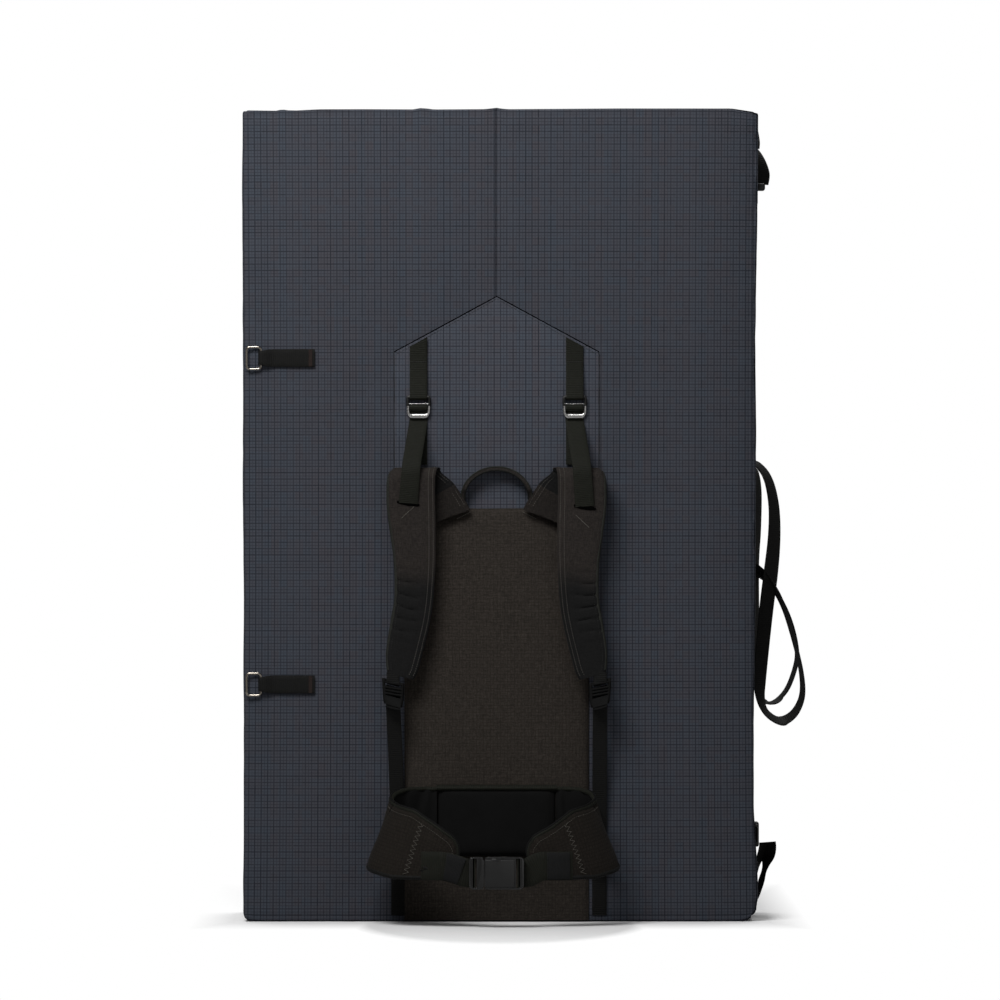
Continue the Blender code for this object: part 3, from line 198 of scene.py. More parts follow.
def close_ring(obj):
    """Joins a grid's first and last columns, closes its ends and points it outwards."""
    alone(obj)
    bpy.ops.object.mode_set(mode="EDIT")
    bpy.ops.mesh.select_all(action="SELECT")
    bpy.ops.mesh.remove_doubles(threshold=0.00002)
    bpy.ops.mesh.select_all(action="DESELECT")
    bpy.ops.mesh.select_mode(type="EDGE")
    bpy.ops.mesh.select_non_manifold(extend=False)
    bpy.ops.mesh.fill_holes(sides=0)
    bpy.ops.mesh.select_all(action="SELECT")
    bpy.ops.mesh.normals_make_consistent(inside=False)
    bpy.ops.object.mode_set(mode="OBJECT")
    return obj


def run_of(name, path, across, section, step=None):
    """A closed length along a path. section(t) gives the ring's places: across it, and out of it."""
    path = [Vector(p) for p in path]
    rows = []
    ways = headings(path)
    for i, (point, along) in enumerate(zip(path, ways)):
        side = across[i] if isinstance(across, list) else across
        side = (side - along * side.dot(along)).normalized()
        out = side.cross(along).normalized()
        ring = section(i / (len(path) - 1))
        rows.append([point + side * a + out * n for a, n in [*ring, ring[0]]])
    return close_ring(sheet_of(name, rows))


def flat_ring(width, thickness, edge=0.5 * MM):
    """The cross-section of flat webbing with softened edges."""
    w, h = width / 2, thickness / 2
    side = [(-w, 0), (-w + edge * 0.35, h * 0.75), (-w + edge, h)]
    top = [(-w * 0.5, h * 0.94), (0, h), (w * 0.5, h * 0.94)]
    right = [(w - edge, h), (w - edge * 0.35, h * 0.75), (w, 0)]
    ring = side + top + right
    return ring + [(a, -n) for a, n in reversed(ring[1:-1])]


def finish_piece(obj, look, body, nodes=(), smooth_angle=40, slot=None):
    """Gives a piece its material, hides the frame parts that it stands for and says what it moves with."""
    if look:
        obj.data.materials.clear()
        for item in (look if isinstance(look, list) else [look]):
            obj.data.materials.append(item)
    alone(obj)
    bpy.ops.object.shade_smooth_by_angle(angle=math.radians(smooth_angle))
    if nodes:
        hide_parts(*nodes)
        slot or nodes[0]
    if body:
        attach(obj, body)
    return obj


def webbing(name, path, across, width, look, body, nodes=(), thickness=WEB, slot=None):
    """Flat webbing along a path; width is a number or a function of the share along it."""
    wide = width if callable(width) else (lambda t: width)
    obj = run_of(name, path, across, lambda t: flat_ring(wide(t), thickness))
    return finish_piece(obj, look, body, nodes, 50, slot)


def thread_rows(name, runs, look, body, slot, pitch=4.2 * MM, long=2.9 * MM, wide=0.75 * MM):
    """Sewn stitches along paths. Each run is a path and the direction out of the cloth."""
    bpy.ops.object.select_all(action="DESELECT")
    bpy.ops.mesh.primitive_ico_sphere_add(subdivisions=1, radius=0.5)
    grain = bpy.context.object
    shape = np.array([v.co for v in grain.data.vertices])
    faces = np.array([p.vertices[:] for p in grain.data.polygons])
    places, polygons, count = [], [], 0
    for path, out in runs:
        outs = out if isinstance(out, list) else [out] * len(path)
        points, ups = even(path, pitch, outs)
        for a, b, up in zip(points, points[1:], ups):
            way = (b - a).normalized()
            side = way.cross(up).normalized()
            up = side.cross(way)
            turn = np.array([way * long, side * wide, up * wide * 0.6])
            places.append(shape @ turn + np.array((a + b) / 2))
            polygons.append(faces + count * len(shape))
            count += 1
    mesh = bpy.data.meshes.new(name)
    mesh.from_pydata(np.concatenate(places).tolist(), [], np.concatenate(polygons).tolist())
    bpy.data.objects.remove(grain)
    obj = bpy.data.objects.new(name, mesh)
    bpy.context.scene.collection.objects.link(obj)
    add_map(obj, np.zeros((len(mesh.vertices), 2)))
    return finish_piece(obj, look, body, (), 60, slot)


# Materials
def nodes_of(name):
    """A new material with its shader, and short words for adding nodes to it."""
    mat = bpy.data.materials.new(name)
    mat.use_nodes = True
    tree = mat.node_tree
    shader = tree.nodes["Principled BSDF"]

    def put(kind, inputs=None, **settings):
        item = tree.nodes.new(kind)
        for key, value in settings.items():
            setattr(item, key, value)
        for key, value in (inputs or {}).items():
            if isinstance(value, bpy.types.NodeSocket):
                tree.links.new(value, item.inputs[key])
            else:
                item.inputs[key].default_value = value
        return item

    def sums(kind, a, b=0.0, c=0.0):
        return put("ShaderNodeMath", {0: a, 1: b, 2: c}, operation=kind).outputs[0]

    return mat, tree, shader, put, sums


def lines_across(sums, coordinate, period, width, soft=0.35):
    """1 on thin lines a period apart, 0 between them."""
    along = sums("FRACT", sums("DIVIDE", coordinate, period))
    off = sums("ABSOLUTE", sums("SUBTRACT", along, 0.5))
    edge = 0.5 - width / period / 2
    rise = width / period * soft
    return sums("MINIMUM", sums("MAXIMUM", sums("DIVIDE", sums("SUBTRACT", off, edge - rise), rise), 0.0), 1.0)


def mixed(put, share, low, high):
    item = put("ShaderNodeMix", data_type="RGBA")
    tree = item.id_data
    for key, value in (("Factor", share), ("A", low), ("B", high)):
        socket = next(s for s in item.inputs if s.name == key and s.type in ("RGBA", "VALUE")
                      and (key == "Factor" or s.type == "RGBA"))
        if isinstance(value, bpy.types.NodeSocket):
            tree.links.new(value, socket)
        else:
            socket.default_value = (*value, 1) if isinstance(value, tuple) else value
    return next(s for s in item.outputs if s.type == "RGBA")


def cut_map(put):
    """The piece's own map in metres, as its two coordinates."""
    split = put("ShaderNodeSeparateXYZ", {0: put("ShaderNodeUVMap", uv_map="cut").outputs[0]})
    return split.outputs[0], split.outputs[1]


def shade_between(colour, amount):
    return tuple(min(1, c * amount) for c in colour)


def uneven_lines(put, sums, coordinate, other, period, width, seed):
    """Thin lines a period apart, each with its own strength, which also changes from cell to cell along it."""
    number = sums("FLOOR", sums("ADD", sums("DIVIDE", coordinate, period), 0.5 + seed))
    cell = sums("FLOOR", sums("DIVIDE", other, CELL))
    own = put("ShaderNodeTexWhiteNoise", {"W": number}, noise_dimensions="1D").outputs[0]
    here = put("ShaderNodeTexWhiteNoise", {"Vector": put("ShaderNodeCombineXYZ", {0: number, 1: cell}).outputs[0]},
               noise_dimensions="2D").outputs[0]
    strength = sums("ADD", sums("ADD", sums("MULTIPLY", own, 0.35), sums("MULTIPLY", here, 0.25)), 0.35)
    return sums("MULTIPLY", lines_across(sums, coordinate, period, width), strength)


def ripstop(name, colour, period=8.1 * MM):
    """Coated nylon: a fine grid of darker raised threads, each a little different, over faintly tinted cells."""
    mat, tree, shader, put, sums = nodes_of(name)
    u, v = cut_map(put)
    place = put("ShaderNodeTexCoord").outputs["Object"]
    wander = put("ShaderNodeTexNoise", {"Scale": 9.0, "Detail": 3.0, "Vector": place})
    fine = put("ShaderNodeTexNoise", {"Scale": 700.0, "Detail": 3.0, "Roughness": 0.7, "Vector": place})
    grid = sums("MAXIMUM", uneven_lines(put, sums, u, v, period, 1.1 * MM, 11),
                uneven_lines(put, sums, v, u, period, 1.0 * MM, 47))
    inner = sums("MAXIMUM", uneven_lines(put, sums, u, v, period / 2, 0.95 * MM, 5),
                 uneven_lines(put, sums, v, u, period / 2, 0.95 * MM, 91))
    dark = sums("MINIMUM", sums("ADD", sums("MULTIPLY", grid, 0.54), sums("MULTIPLY", inner, 0.48)), 1.0)
    square = put("ShaderNodeCombineXYZ", {0: sums("FLOOR", sums("DIVIDE", u, CELL)), 1: sums("FLOOR", sums("DIVIDE", v, CELL))})
    patch = put("ShaderNodeTexWhiteNoise", {"Vector": square.outputs[0]}, noise_dimensions="2D")
    stripe = put("ShaderNodeTexWhiteNoise", {"W": sums("FLOOR", sums("DIVIDE", u, CELL))}, noise_dimensions="1D")
    tint = sums("ADD", sums("MULTIPLY", stripe.outputs[0], 0.45), sums("MULTIPLY", patch.outputs[0], 0.55))
    warm = (colour[0] * 1.24, colour[1] * 1.00, colour[2] * 0.95)
    cool = (colour[0] * 0.80, colour[1] * 1.00, colour[2] * 1.14)
    cloth = mixed(put, tint, warm, cool)
    cloth = mixed(put, sums("MULTIPLY", wander.outputs[0], 0.22), cloth, shade_between(colour, 1.35))
    cloth = mixed(put, sums("MULTIPLY", patch.outputs[0], 0.22), cloth, shade_between(colour, 1.5))
    cloth = mixed(put, sums("MULTIPLY", fine.outputs[0], 0.5), cloth, shade_between(colour, 2.1))
    tone = mixed(put, dark, cloth, (colour[0] * 0.24, colour[1] * 0.27, colour[2] * 0.33))
    tree.links.new(tone, shader.inputs["Base Color"])
    height = sums("ADD", sums("MULTIPLY", grid, -0.5), sums("MULTIPLY", fine.outputs[0], 0.7))
    bump = put("ShaderNodeBump", {"Strength": 0.4, "Distance": 0.0006, "Height": height})
    tree.links.new(bump.outputs[0], shader.inputs["Normal"])
    rough = sums("ADD", sums("MULTIPLY", wander.outputs[0], 0.10), 0.62)
    tree.links.new(rough, shader.inputs["Roughness"])
    shader.inputs["Specular IOR Level"].default_value = 0.12
    shader.inputs["Sheen Weight"].default_value = 0.01
    return mat


def melange(name, colour, fleck, period=4.4 * MM, grid_share=0.35, grey_below=None):
    """Heavy woven cloth of mixed dark yarns, with short flecks and a faint grid, greyer low down if asked."""
    mat, tree, shader, put, sums = nodes_of(name)
    u, v = cut_map(put)
    place = put("ShaderNodeTexCoord").outputs["Object"]
    yarn_up = put("ShaderNodeTexNoise", {"Scale": 1.0, "Detail": 3.0, "Roughness": 0.7,
                                         "Vector": put("ShaderNodeMapping", {"Vector": place, "Scale": (900, 900, 160)}).outputs[0]})
    yarn_over = put("ShaderNodeTexNoise", {"Scale": 1.0, "Detail": 3.0, "Roughness": 0.7,
                                           "Vector": put("ShaderNodeMapping", {"Vector": place, "Scale": (160, 900, 900)}).outputs[0]})
    cloudy = put("ShaderNodeTexNoise", {"Scale": 14.0, "Detail": 2.0, "Vector": place})
    yarns = sums("MULTIPLY", sums("ADD", yarn_up.outputs[0], yarn_over.outputs[0]), 0.5)
    flecks = sums("MINIMUM", sums("MAXIMUM", sums("MULTIPLY", sums("SUBTRACT", yarns, 0.42), 4.0), 0.0), 1.0)
    grid = sums("MAXIMUM", lines_across(sums, u, period, 0.8 * MM), lines_across(sums, v, period, 0.8 * MM))
    base = mixed(put, cloudy.outputs[0], shade_between(colour, 0.85), shade_between(colour, 1.15))
    base = mixed(put, flecks, base, fleck)
    if grey_below:
        level, fade, grey = grey_below
        height = put("ShaderNodeSeparateXYZ", {0: place}).outputs[2]
        ragged = sums("ADD", height, sums("MULTIPLY", sums("SUBTRACT", cloudy.outputs[0], 0.5), fade))
        low = sums("MINIMUM", sums("MAXIMUM", sums("DIVIDE", sums("SUBTRACT", level, ragged), fade), 0.0), 1.0)
        base = mixed(put, low, base, mixed(put, flecks, grey, shade_between(grey, 1.5)))
    tone = mixed(put, sums("MULTIPLY", grid, grid_share), base, shade_between(colour, 0.35))
    tree.links.new(tone, shader.inputs["Base Color"])
    height = sums("SUBTRACT", yarns, sums("MULTIPLY", grid, 0.5))
    bump = put("ShaderNodeBump", {"Strength": 0.4, "Distance": 0.0006, "Height": height})
    tree.links.new(bump.outputs[0], shader.inputs["Normal"])
    shader.inputs["Roughness"].default_value = 0.86
    shader.inputs["Specular IOR Level"].default_value = 0.06
    shader.inputs["Sheen Weight"].default_value = 0.015
    return mat


def ribbed(name, colour, rib=1.7 * MM, depth=0.55, light=1.35, across=False, rough=0.62):
    """Woven tape: ribs across its length, finer yarns along it, and painted shade in the grooves between the ribs."""
    mat, tree, shader, put, sums = nodes_of(name)
    u, v = cut_map(put)
    if across:
        u, v = v, u
    place = put("ShaderNodeTexCoord").outputs["Object"]
    rough_noise = put("ShaderNodeTexNoise", {"Scale": 260.0, "Detail": 2.0, "Vector": place})
    long_noise = put("ShaderNodeTexNoise", {"Scale": 24.0, "Detail": 2.0, "Vector": place})
    wave = sums("SINE", sums("MULTIPLY", v, 2 * math.pi / rib))
    yarn = sums("SINE", sums("MULTIPLY", u, 2 * math.pi / (0.9 * MM)))
    height = sums("ADD", sums("MULTIPLY", wave, 0.5), sums("MULTIPLY", yarn, 0.16))
    # painted shade: the colour falls to half in the grooves between ribs, where shade would lie; depth sets how
    # strongly
    lit = sums("ADD", sums("MULTIPLY", wave, 0.5), 0.5)
    base = mixed(put, long_noise.outputs[0], shade_between(colour, 0.8), shade_between(colour, 1.2))
    base = mixed(put, sums("MULTIPLY", lit, depth), shade_between(colour, 0.5), base)
    tone = mixed(put, sums("MULTIPLY", rough_noise.outputs[0], 0.5), base, shade_between(colour, light))
    tree.links.new(tone, shader.inputs["Base Color"])
    bump = put("ShaderNodeBump", {"Strength": 0.5, "Distance": 0.0005, "Height": height})
    tree.links.new(bump.outputs[0], shader.inputs["Normal"])
    shader.inputs["Roughness"].default_value = rough
    shader.inputs["Specular IOR Level"].default_value = 0.12
    shader.inputs["Sheen Weight"].default_value = 0.015
    return mat


def moulded(name, colour, rough, grain=0.12, shine=0.5):
    """Moulded plastic with a faint grain."""
    mat, tree, shader, put, sums = nodes_of(name)
    place = put("ShaderNodeTexCoord").outputs["Object"]
    fine = put("ShaderNodeTexNoise", {"Scale": 700.0, "Detail": 2.0, "Vector": place})
    broad = put("ShaderNodeTexNoise", {"Scale": 60.0, "Detail": 2.0, "Vector": place})
    tone = mixed(put, broad.outputs[0], shade_between(colour, 0.85), shade_between(colour, 1.2))
    tree.links.new(tone, shader.inputs["Base Color"])
    tree.links.new(sums("ADD", sums("MULTIPLY", broad.outputs[0], 0.10), rough), shader.inputs["Roughness"])
    bump = put("ShaderNodeBump", {"Strength": grain, "Distance": 0.0003, "Height": fine.outputs[0]})
    tree.links.new(bump.outputs[0], shader.inputs["Normal"])
    shader.inputs["Specular IOR Level"].default_value = shine
    return mat


def metal(name, colour, rough, scratch=0.12):
    """Metal with fine wear in its polish."""
    mat, tree, shader, put, sums = nodes_of(name)
    place = put("ShaderNodeTexCoord").outputs["Object"]
    wear = put("ShaderNodeTexNoise", {"Scale": 180.0, "Detail": 4.0, "Roughness": 0.7, "Vector": place})
    tone = mixed(put, wear.outputs[0], shade_between(colour, 0.8), shade_between(colour, 1.15))
    tree.links.new(tone, shader.inputs["Base Color"])
    tree.links.new(sums("ADD", sums("MULTIPLY", wear.outputs[0], scratch), rough), shader.inputs["Roughness"])
    bump = put("ShaderNodeBump", {"Strength": 0.08, "Distance": 0.0002, "Height": wear.outputs[0]})
    tree.links.new(bump.outputs[0], shader.inputs["Normal"])
    shader.inputs["Metallic"].default_value = 1.0
    return mat


def threads(name, colour):
    mat, tree, shader, put, sums = nodes_of(name)
    place = put("ShaderNodeTexCoord").outputs["Object"]
    twist = put("ShaderNodeTexNoise", {"Scale": 500.0, "Detail": 2.0, "Vector": place})
    tone = mixed(put, twist.outputs[0], shade_between(colour, 0.7), shade_between(colour, 1.3))
    tree.links.new(tone, shader.inputs["Base Color"])
    shader.inputs["Roughness"].default_value = 0.75
    return mat


CELL = 10.2 * MM
SLATE = (0.0400, 0.0437, 0.0536)
slate_cloth = ripstop("slate_ripstop", SLATE)
# painted light: the chevron panel's cloth is the cover's slate made 1.2 times lighter, standing in for the brighter
# light on the pad's middle
chevron_lit_cloth = ripstop("chevron_ripstop_lit", shade_between(SLATE, 1.2))
panel_cloth = melange("harness_melange", (0.0235, 0.0200, 0.0170), (0.054, 0.0455, 0.0385), grid_share=0.24)
wing_cloth = melange("wing_melange", (0.0120, 0.0102, 0.0085), (0.027, 0.0225, 0.0188))
strap_cloth = melange("strap_melange", (0.018, 0.0155, 0.0145), (0.040, 0.034, 0.030), grid_share=0.10,
                      grey_below=(0.455, 0.03, (0.0095, 0.0095, 0.0095)))
# painted shade: the yoke's cloth is the strap's brown melange at about 0.7 times, standing in for the shade under the
# strap's fold
shaded_yoke_cloth = melange("yoke_melange_shaded", (0.0125, 0.0108, 0.0100), (0.028, 0.024, 0.021), grid_share=0.10)
strap_lining = melange("strap_lining", (0.007, 0.007, 0.007), (0.012, 0.012, 0.012), grid_share=0.2)
smooth_black = moulded("lumbar_smooth_knit", (0.0075, 0.0075, 0.0075), 0.8, 0.3, 0.03)
black_tape = ribbed("black_webbing", (0.0078, 0.0078, 0.0074), rib=2.5 * MM, depth=0.75)
olive_tape = ribbed("olive_webbing", (0.0093, 0.0099, 0.0068), rib=2.3 * MM, depth=0.9, light=1.75)
grey_tape = ribbed("grey_webbing", (0.0108, 0.0110, 0.0112), rib=1.9 * MM)
edge_tape = ribbed("edge_binding", (0.0125, 0.0125, 0.011), rib=1.1 * MM, depth=0.4)
pale_edge = ribbed("pale_edge_binding", (0.024, 0.025, 0.021), rib=1.1 * MM, depth=0.4)
tack_thread = ribbed("bar_tack_thread", (0.024, 0.015, 0.013), rib=1.0 * MM, depth=0.8)
pale_thread = threads("pale_thread", (0.085, 0.078, 0.066))
dark_thread = threads("dark_thread", (0.010, 0.010, 0.010))
seam_shadow = threads("seam_shadow_thread", (0.0035, 0.0037, 0.0045))
satin_black = moulded("satin_black_plastic", (0.0085, 0.0085, 0.0085), 0.34)
gloss_black = moulded("gloss_black_plastic", (0.010, 0.010, 0.010), 0.16, 0.05)
bright_steel = metal("bright_steel", (0.62, 0.61, 0.60), 0.20)
ring_steel = metal("ring_steel", (0.40, 0.36, 0.31), 0.10, 0.08)
# painted reflection: a steel for thin beads that stand in for the light lines reflected along the hip-belt buckle's
# glossy edges
rim_reflection_steel = metal("rim_reflection_steel", (0.11, 0.11, 0.11), 0.3)
dark_steel = metal("dark_steel", (0.045, 0.045, 0.045), 0.38)
# painted shade: a black for the lifter buckle's middle steel bar, standing in for shade on its metal
shaded_bar_black = moulded("shaded_bar_black", (0.012, 0.012, 0.012), 0.28, 0.04)
lock_black = moulded("lock_black_plastic", (0.0072, 0.0072, 0.0072), 0.72, 0.12, 0.06)
# painted shade: a near-black that stands in for the shade inside the straps' slits and along the chevron panel's edges
slit_and_seam_shade = moulded("slit_shadow", (0.0015, 0.0015, 0.0015), 0.95, 0.1, 0.0)


# Pad halves
SEAM_X = -5.2 * MM
TOP_EDGE_X = [-327.5, -300, -288, -280, -272, -262, -231, -180, -112, -103, -94, -86, -20, -11, -5, 2, 10, 150, 296, 312, 327.5]
TOP_EDGE_Z = [1040.0, 1039.6, 1039.4, 1041.1, 1040.0, 1039.8, 1041.3, 1041.4, 1041.2, 1042.9, 1042.3, 1041.1, 1041.5,
              1042.5, 1043.2, 1042.1, 1041.4, 1042.4, 1042.3, 1039.9, 1037.5]


def stations(low, high, step, edge):
    """Grid lines a step apart, closer together near both ends."""
    near = [0, 0.6 * MM, 1.5 * MM, 3 * MM, 5 * MM, 7.5 * MM, edge]
    count = round((high - low - 2 * edge) / step)
    inner = [low + edge + (high - low - 2 * edge) * i / count for i in range(count + 1)]
    return [low + n for n in near[:-1]] + inner + [high - n for n in reversed(near[:-1])]


def ripple(x, y, z, scale):
    return noise.noise(Vector((x / scale, y / scale + 3.7, z / scale)))


RIGHT_FALL = 8 * MM
LEFT_FULL_Z = (28, 53, 92, 156, 258, 348, 412, 540, 668, 796, 925, 976, 1014)
LEFT_FULL = (3.0, 3.5, 3.1, 3.5, 3.9, 4.9, 4.3, 5.9, 5.4, 5.3, 5.3, 4.6, 3.9)
RIGHT_FULL_Z = (28, 72, 143, 245, 400, 604, 642, 745, 834, 900, 1030)
RIGHT_FULL = (3.6, 2.9, -1.8, -1.4, 1.9, 2.9, 3.1, 1.4, 2.7, 3.5, 3.6)


def cover_surface(point, half):
    """Where a point of the plain slab lies on the stuffed and sewn half."""
    round_off = 4.5 * MM
    x, y, z = point
    outer = FACE_Y
    low = Vector((-HALF_WIDTH + round_off, outer + round_off, round_off))
    high = Vector((HALF_WIDTH - round_off, INNER_Y - round_off, HEIGHT - round_off))
    core = Vector((min(max(x, low.x), high.x), min(max(y, low.y), high.y), min(max(z, low.z), high.z)))
    away = Vector(point) - core
    out = core + away.normalized() * round_off if away.length > 1e-7 else Vector(point)
    u, v = min(1, abs(x) / HALF_WIDTH), min(1, abs(z - HEIGHT / 2) / (HEIGHT / 2))
    depth = (INNER_Y - y) / (INNER_Y - FACE_Y)
    bulge = CROWN * (1 - u ** 4) * (1 - v ** 4)
    if y < FACE_Y + round_off:
        out.y -= bulge
        out.y += RIGHT_FALL * max(0, (x - 232 * MM) / (HALF_WIDTH - 232 * MM)) ** 2.5 * (1 - half)
    wall = 4 * depth * (1 - depth)
    if abs(x) > HALF_WIDTH - 1e-4:
        near = math.exp(-((y - FACE_Y - 14 * MM) / (20 * MM)) ** 2)
        if x > 0:
            out.x += float(np.interp(z / MM, RIGHT_FULL_Z, RIGHT_FULL)) * MM * near * min(1, z / (30 * MM)) ** 2 * (1 - half)
        else:
            full = float(np.interp(z / MM, LEFT_FULL_Z, LEFT_FULL)) * MM * near * min(1, z / (10 * MM))
            out.x -= full * (-0.7 if half else 1)
        out.x -= math.copysign(DRAW_IN * (1 - v ** 2) * 0.95 + 0.6 * MM * wall, x)
        out.x += math.copysign(0.8 * MM * ripple(0, y * 1.5, z, 0.05), x) * (1 - v ** 8)
    else:
        out.x -= x / HALF_WIDTH * DRAW_IN * (1 - v ** 2) * 0.95
    line = -DRAW_IN * (1 - u ** 2)
    if not half:
        facing = min(1, max(0, (depth - 0.62) / 0.3))
        line += (float(np.interp(x / MM, TOP_EDGE_X, TOP_EDGE_Z)) * MM - HEIGHT - line) * facing ** 2 * (3 - 2 * facing)
    if z > HEIGHT - 40 * MM:
        near = (z - HEIGHT + 40 * MM) / (40 * MM)
        out.z += line * near ** 3
        if z > HEIGHT - 1e-4:
            out.z += 0.7 * MM * ripple(x, y * 1.5, 1 + half, 0.045) * (1 - u ** 8) * (1 - depth)
    if z < 14 * MM and abs(x) > 300 * MM:
        lift = 7 * MM if x > 0 or half else 1.8 * MM
        out.z += lift * (1 - z / (14 * MM)) * ((abs(x) - 300 * MM) / (HALF_WIDTH - 300 * MM)) ** 3 * depth
    if x > HALF_WIDTH - 12 * MM and z < 12 * MM:
        out.x -= 4.5 * MM * (1 - z / (12 * MM)) * (x - HALF_WIDTH + 12 * MM) / (12 * MM)
    return out


def seam_dent(x, z):
    """How deep the cover's sewn lines and pulled places lie below its face."""
    edge = min(HALF_WIDTH - abs(x), z, HEIGHT - z)
    dent = 1.0 * MM * math.exp(-((edge - 6 * MM) / (2.2 * MM)) ** 2)
    if z > CHEVRON_HIGH.z - 2 * MM:
        dent += 2.2 * MM * math.exp(-((x - SEAM_X) / (0.9 * MM)) ** 2)
        dent += 0.9 * MM * math.exp(-((x - SEAM_X) / (13 * MM)) ** 2)
    return dent


def cover_waves(x, z):
    """Soft hollows and swells of cloth over foam, with puckers towards the sewn edges."""
    broad = 0.9 * MM * ripple(x, 0.2, z, 0.17)
    edge = min(HALF_WIDTH - abs(x), HEIGHT - z, z)
    side = min(HALF_WIDTH - abs(x), 0.2)
    tall = min(HEIGHT - z, z)
    pucker_side = 1.1 * MM * noise.noise(Vector((x * 9, 1.5, z * 34))) * math.exp(-side / 0.035)
    pucker_end = 1.1 * MM * noise.noise(Vector((x * 34, 7.5, z * 9))) * math.exp(-tall / 0.035)
    middle = 0.35 * MM * ripple(x, 4.4, z, 0.03) * min(1, edge / 0.03)
    return broad + pucker_side + pucker_end + middle


def chevron_edge(x):
    """The height of the chevron's sewn upper edge."""
    share = abs(x - HARNESS_X) / (131 * MM)
    return CHEVRON_HIGH.z - 71 * MM * share


def chevron_pull(x, z):
    """Short folds that run out of the chevron's lower corners."""
    pull = 0
    for hand in (-1, 1):
        corner = Vector((HARNESS_X + hand * 132 * MM, 731 * MM))
        far = (Vector((x, z)) - corner)
        along = far.x * hand
        if -4 * MM < along < 34 * MM:
            fold = far.y - along * 0.36
            pull += 1.7 * MM * math.exp(-(fold / (2.4 * MM)) ** 2) * max(0, 1 - along / (34 * MM))
            pull -= 1.2 * MM * math.exp(-((fold - 5 * MM) / (3.2 * MM)) ** 2) * max(0, 1 - along / (34 * MM))
    return pull


def pad_cover(half):
    """One half of the pad: a cloth cover, crowned over its foam."""
    front = half == "front"
    xs = stations(-HALF_WIDTH, HALF_WIDTH, 5 * MM, 10 * MM)
    if not front:
        seam_lines = [SEAM_X + d * MM for d in (-3.4, -2.0, -1.1, -0.5, 0, 0.5, 1.1, 2.0, 3.4)]
        xs = sorted([x for x in xs if abs(x - SEAM_X) > 5 * MM] + seam_lines)
    zs = stations(0, HEIGHT, 5 * MM, 10 * MM)
    bpy.ops.object.select_all(action="DESELECT")
    bpy.ops.mesh.primitive_grid_add(x_subdivisions=len(xs) - 1, y_subdivisions=len(zs) - 1, size=1)
    obj = bpy.context.object
    obj.name = obj.data.name = half + "_half_cover"
    places = np.array([[(x, FACE_Y, z) for x in xs] for z in zs]).reshape(-1)
    obj.data.vertices.foreach_set("co", places)
    ys = stations(FACE_Y, INNER_Y, 8 * MM, 10 * MM)
    bpy.ops.object.mode_set(mode="EDIT")
    bpy.ops.mesh.select_all(action="SELECT")
    for near, far in zip(ys, ys[1:]):
        bpy.ops.mesh.extrude_region_move(TRANSFORM_OT_translate={"value": (0, far - near, 0)})
    bpy.ops.mesh.select_all(action="SELECT")
    bpy.ops.mesh.normals_make_consistent(inside=False)
    bpy.ops.object.mode_set(mode="OBJECT")
    mesh = obj.data
    slab = [v.co.copy() for v in mesh.vertices]
    for vertex, place in zip(mesh.vertices, slab):
        out = cover_surface(place, 1 if front else 0)
        inside = (INNER_Y - place.y) / (INNER_Y - FACE_Y)
        if inside > 0.999:
            out.y += seam_dent(place.x, place.z) - cover_waves(place.x, place.z)
            if not front:
                out.y -= chevron_pull(place.x, place.z)
        elif inside < 0.001:
            out.y -= 0.5 * seam_dent(place.x, 0.3) * 0.4
        vertex.co = out
    box_map(mesh, slab)
    if front:
        for vertex in mesh.vertices:
            vertex.co.y = FRONT_SHIFT - vertex.co.y
        alone(obj)
        bpy.ops.object.mode_set(mode="EDIT")
        bpy.ops.mesh.select_all(action="SELECT")
        bpy.ops.mesh.normals_make_consistent(inside=False)
        bpy.ops.object.mode_set(mode="OBJECT")
    finish_piece(obj, slate_cloth, half + "_half",
                 (half + "_cover", half + "_core_foam", half + "_landing_foam"), 50)
    return obj


def box_map(mesh, places=None):
    """A map in metres, taken from the side of the box that each face lies on."""
    layer = mesh.uv_layers.active or mesh.uv_layers.new(name="cut")
    layer.name = "cut"
    at = places or [v.co for v in mesh.vertices]
    for face in mesh.polygons:
        corners = [at[i] for i in face.vertices]
        spread = [max(c[k] for c in corners) - min(c[k] for c in corners) for k in range(3)]
        flat = spread.index(min(spread))
        for loop, corner in zip(face.loop_indices, corners):
            rest = [corner[k] for k in range(3) if k != flat]
            layer.data[loop].uv = rest


# Sheets on the back half's face
def laid_sheet(name, columns, rows, outline, height, thickness):
    """A cloth sheet over the face: outline(s, t) gives its place, height(s, t, x, z) how proud it lies."""
    lines = []
    for r in range(rows + 1):
        line = []
        for c in range(columns + 1):
            s, t = c / columns, r / rows
            x, z = outline(s, t)
            line.append(Vector((x, face_y(x, z) - height(s, t, x, z), z)))
        lines.append(line)
    obj = sheet_of(name, lines)
    alone(obj)
    bpy.ops.object.modifier_add(type="SOLIDIFY")
    wall = obj.modifiers[-1]
    wall.thickness = thickness
    wall.offset = -1
    bpy.ops.object.modifier_apply(modifier=wall.name)
    return obj


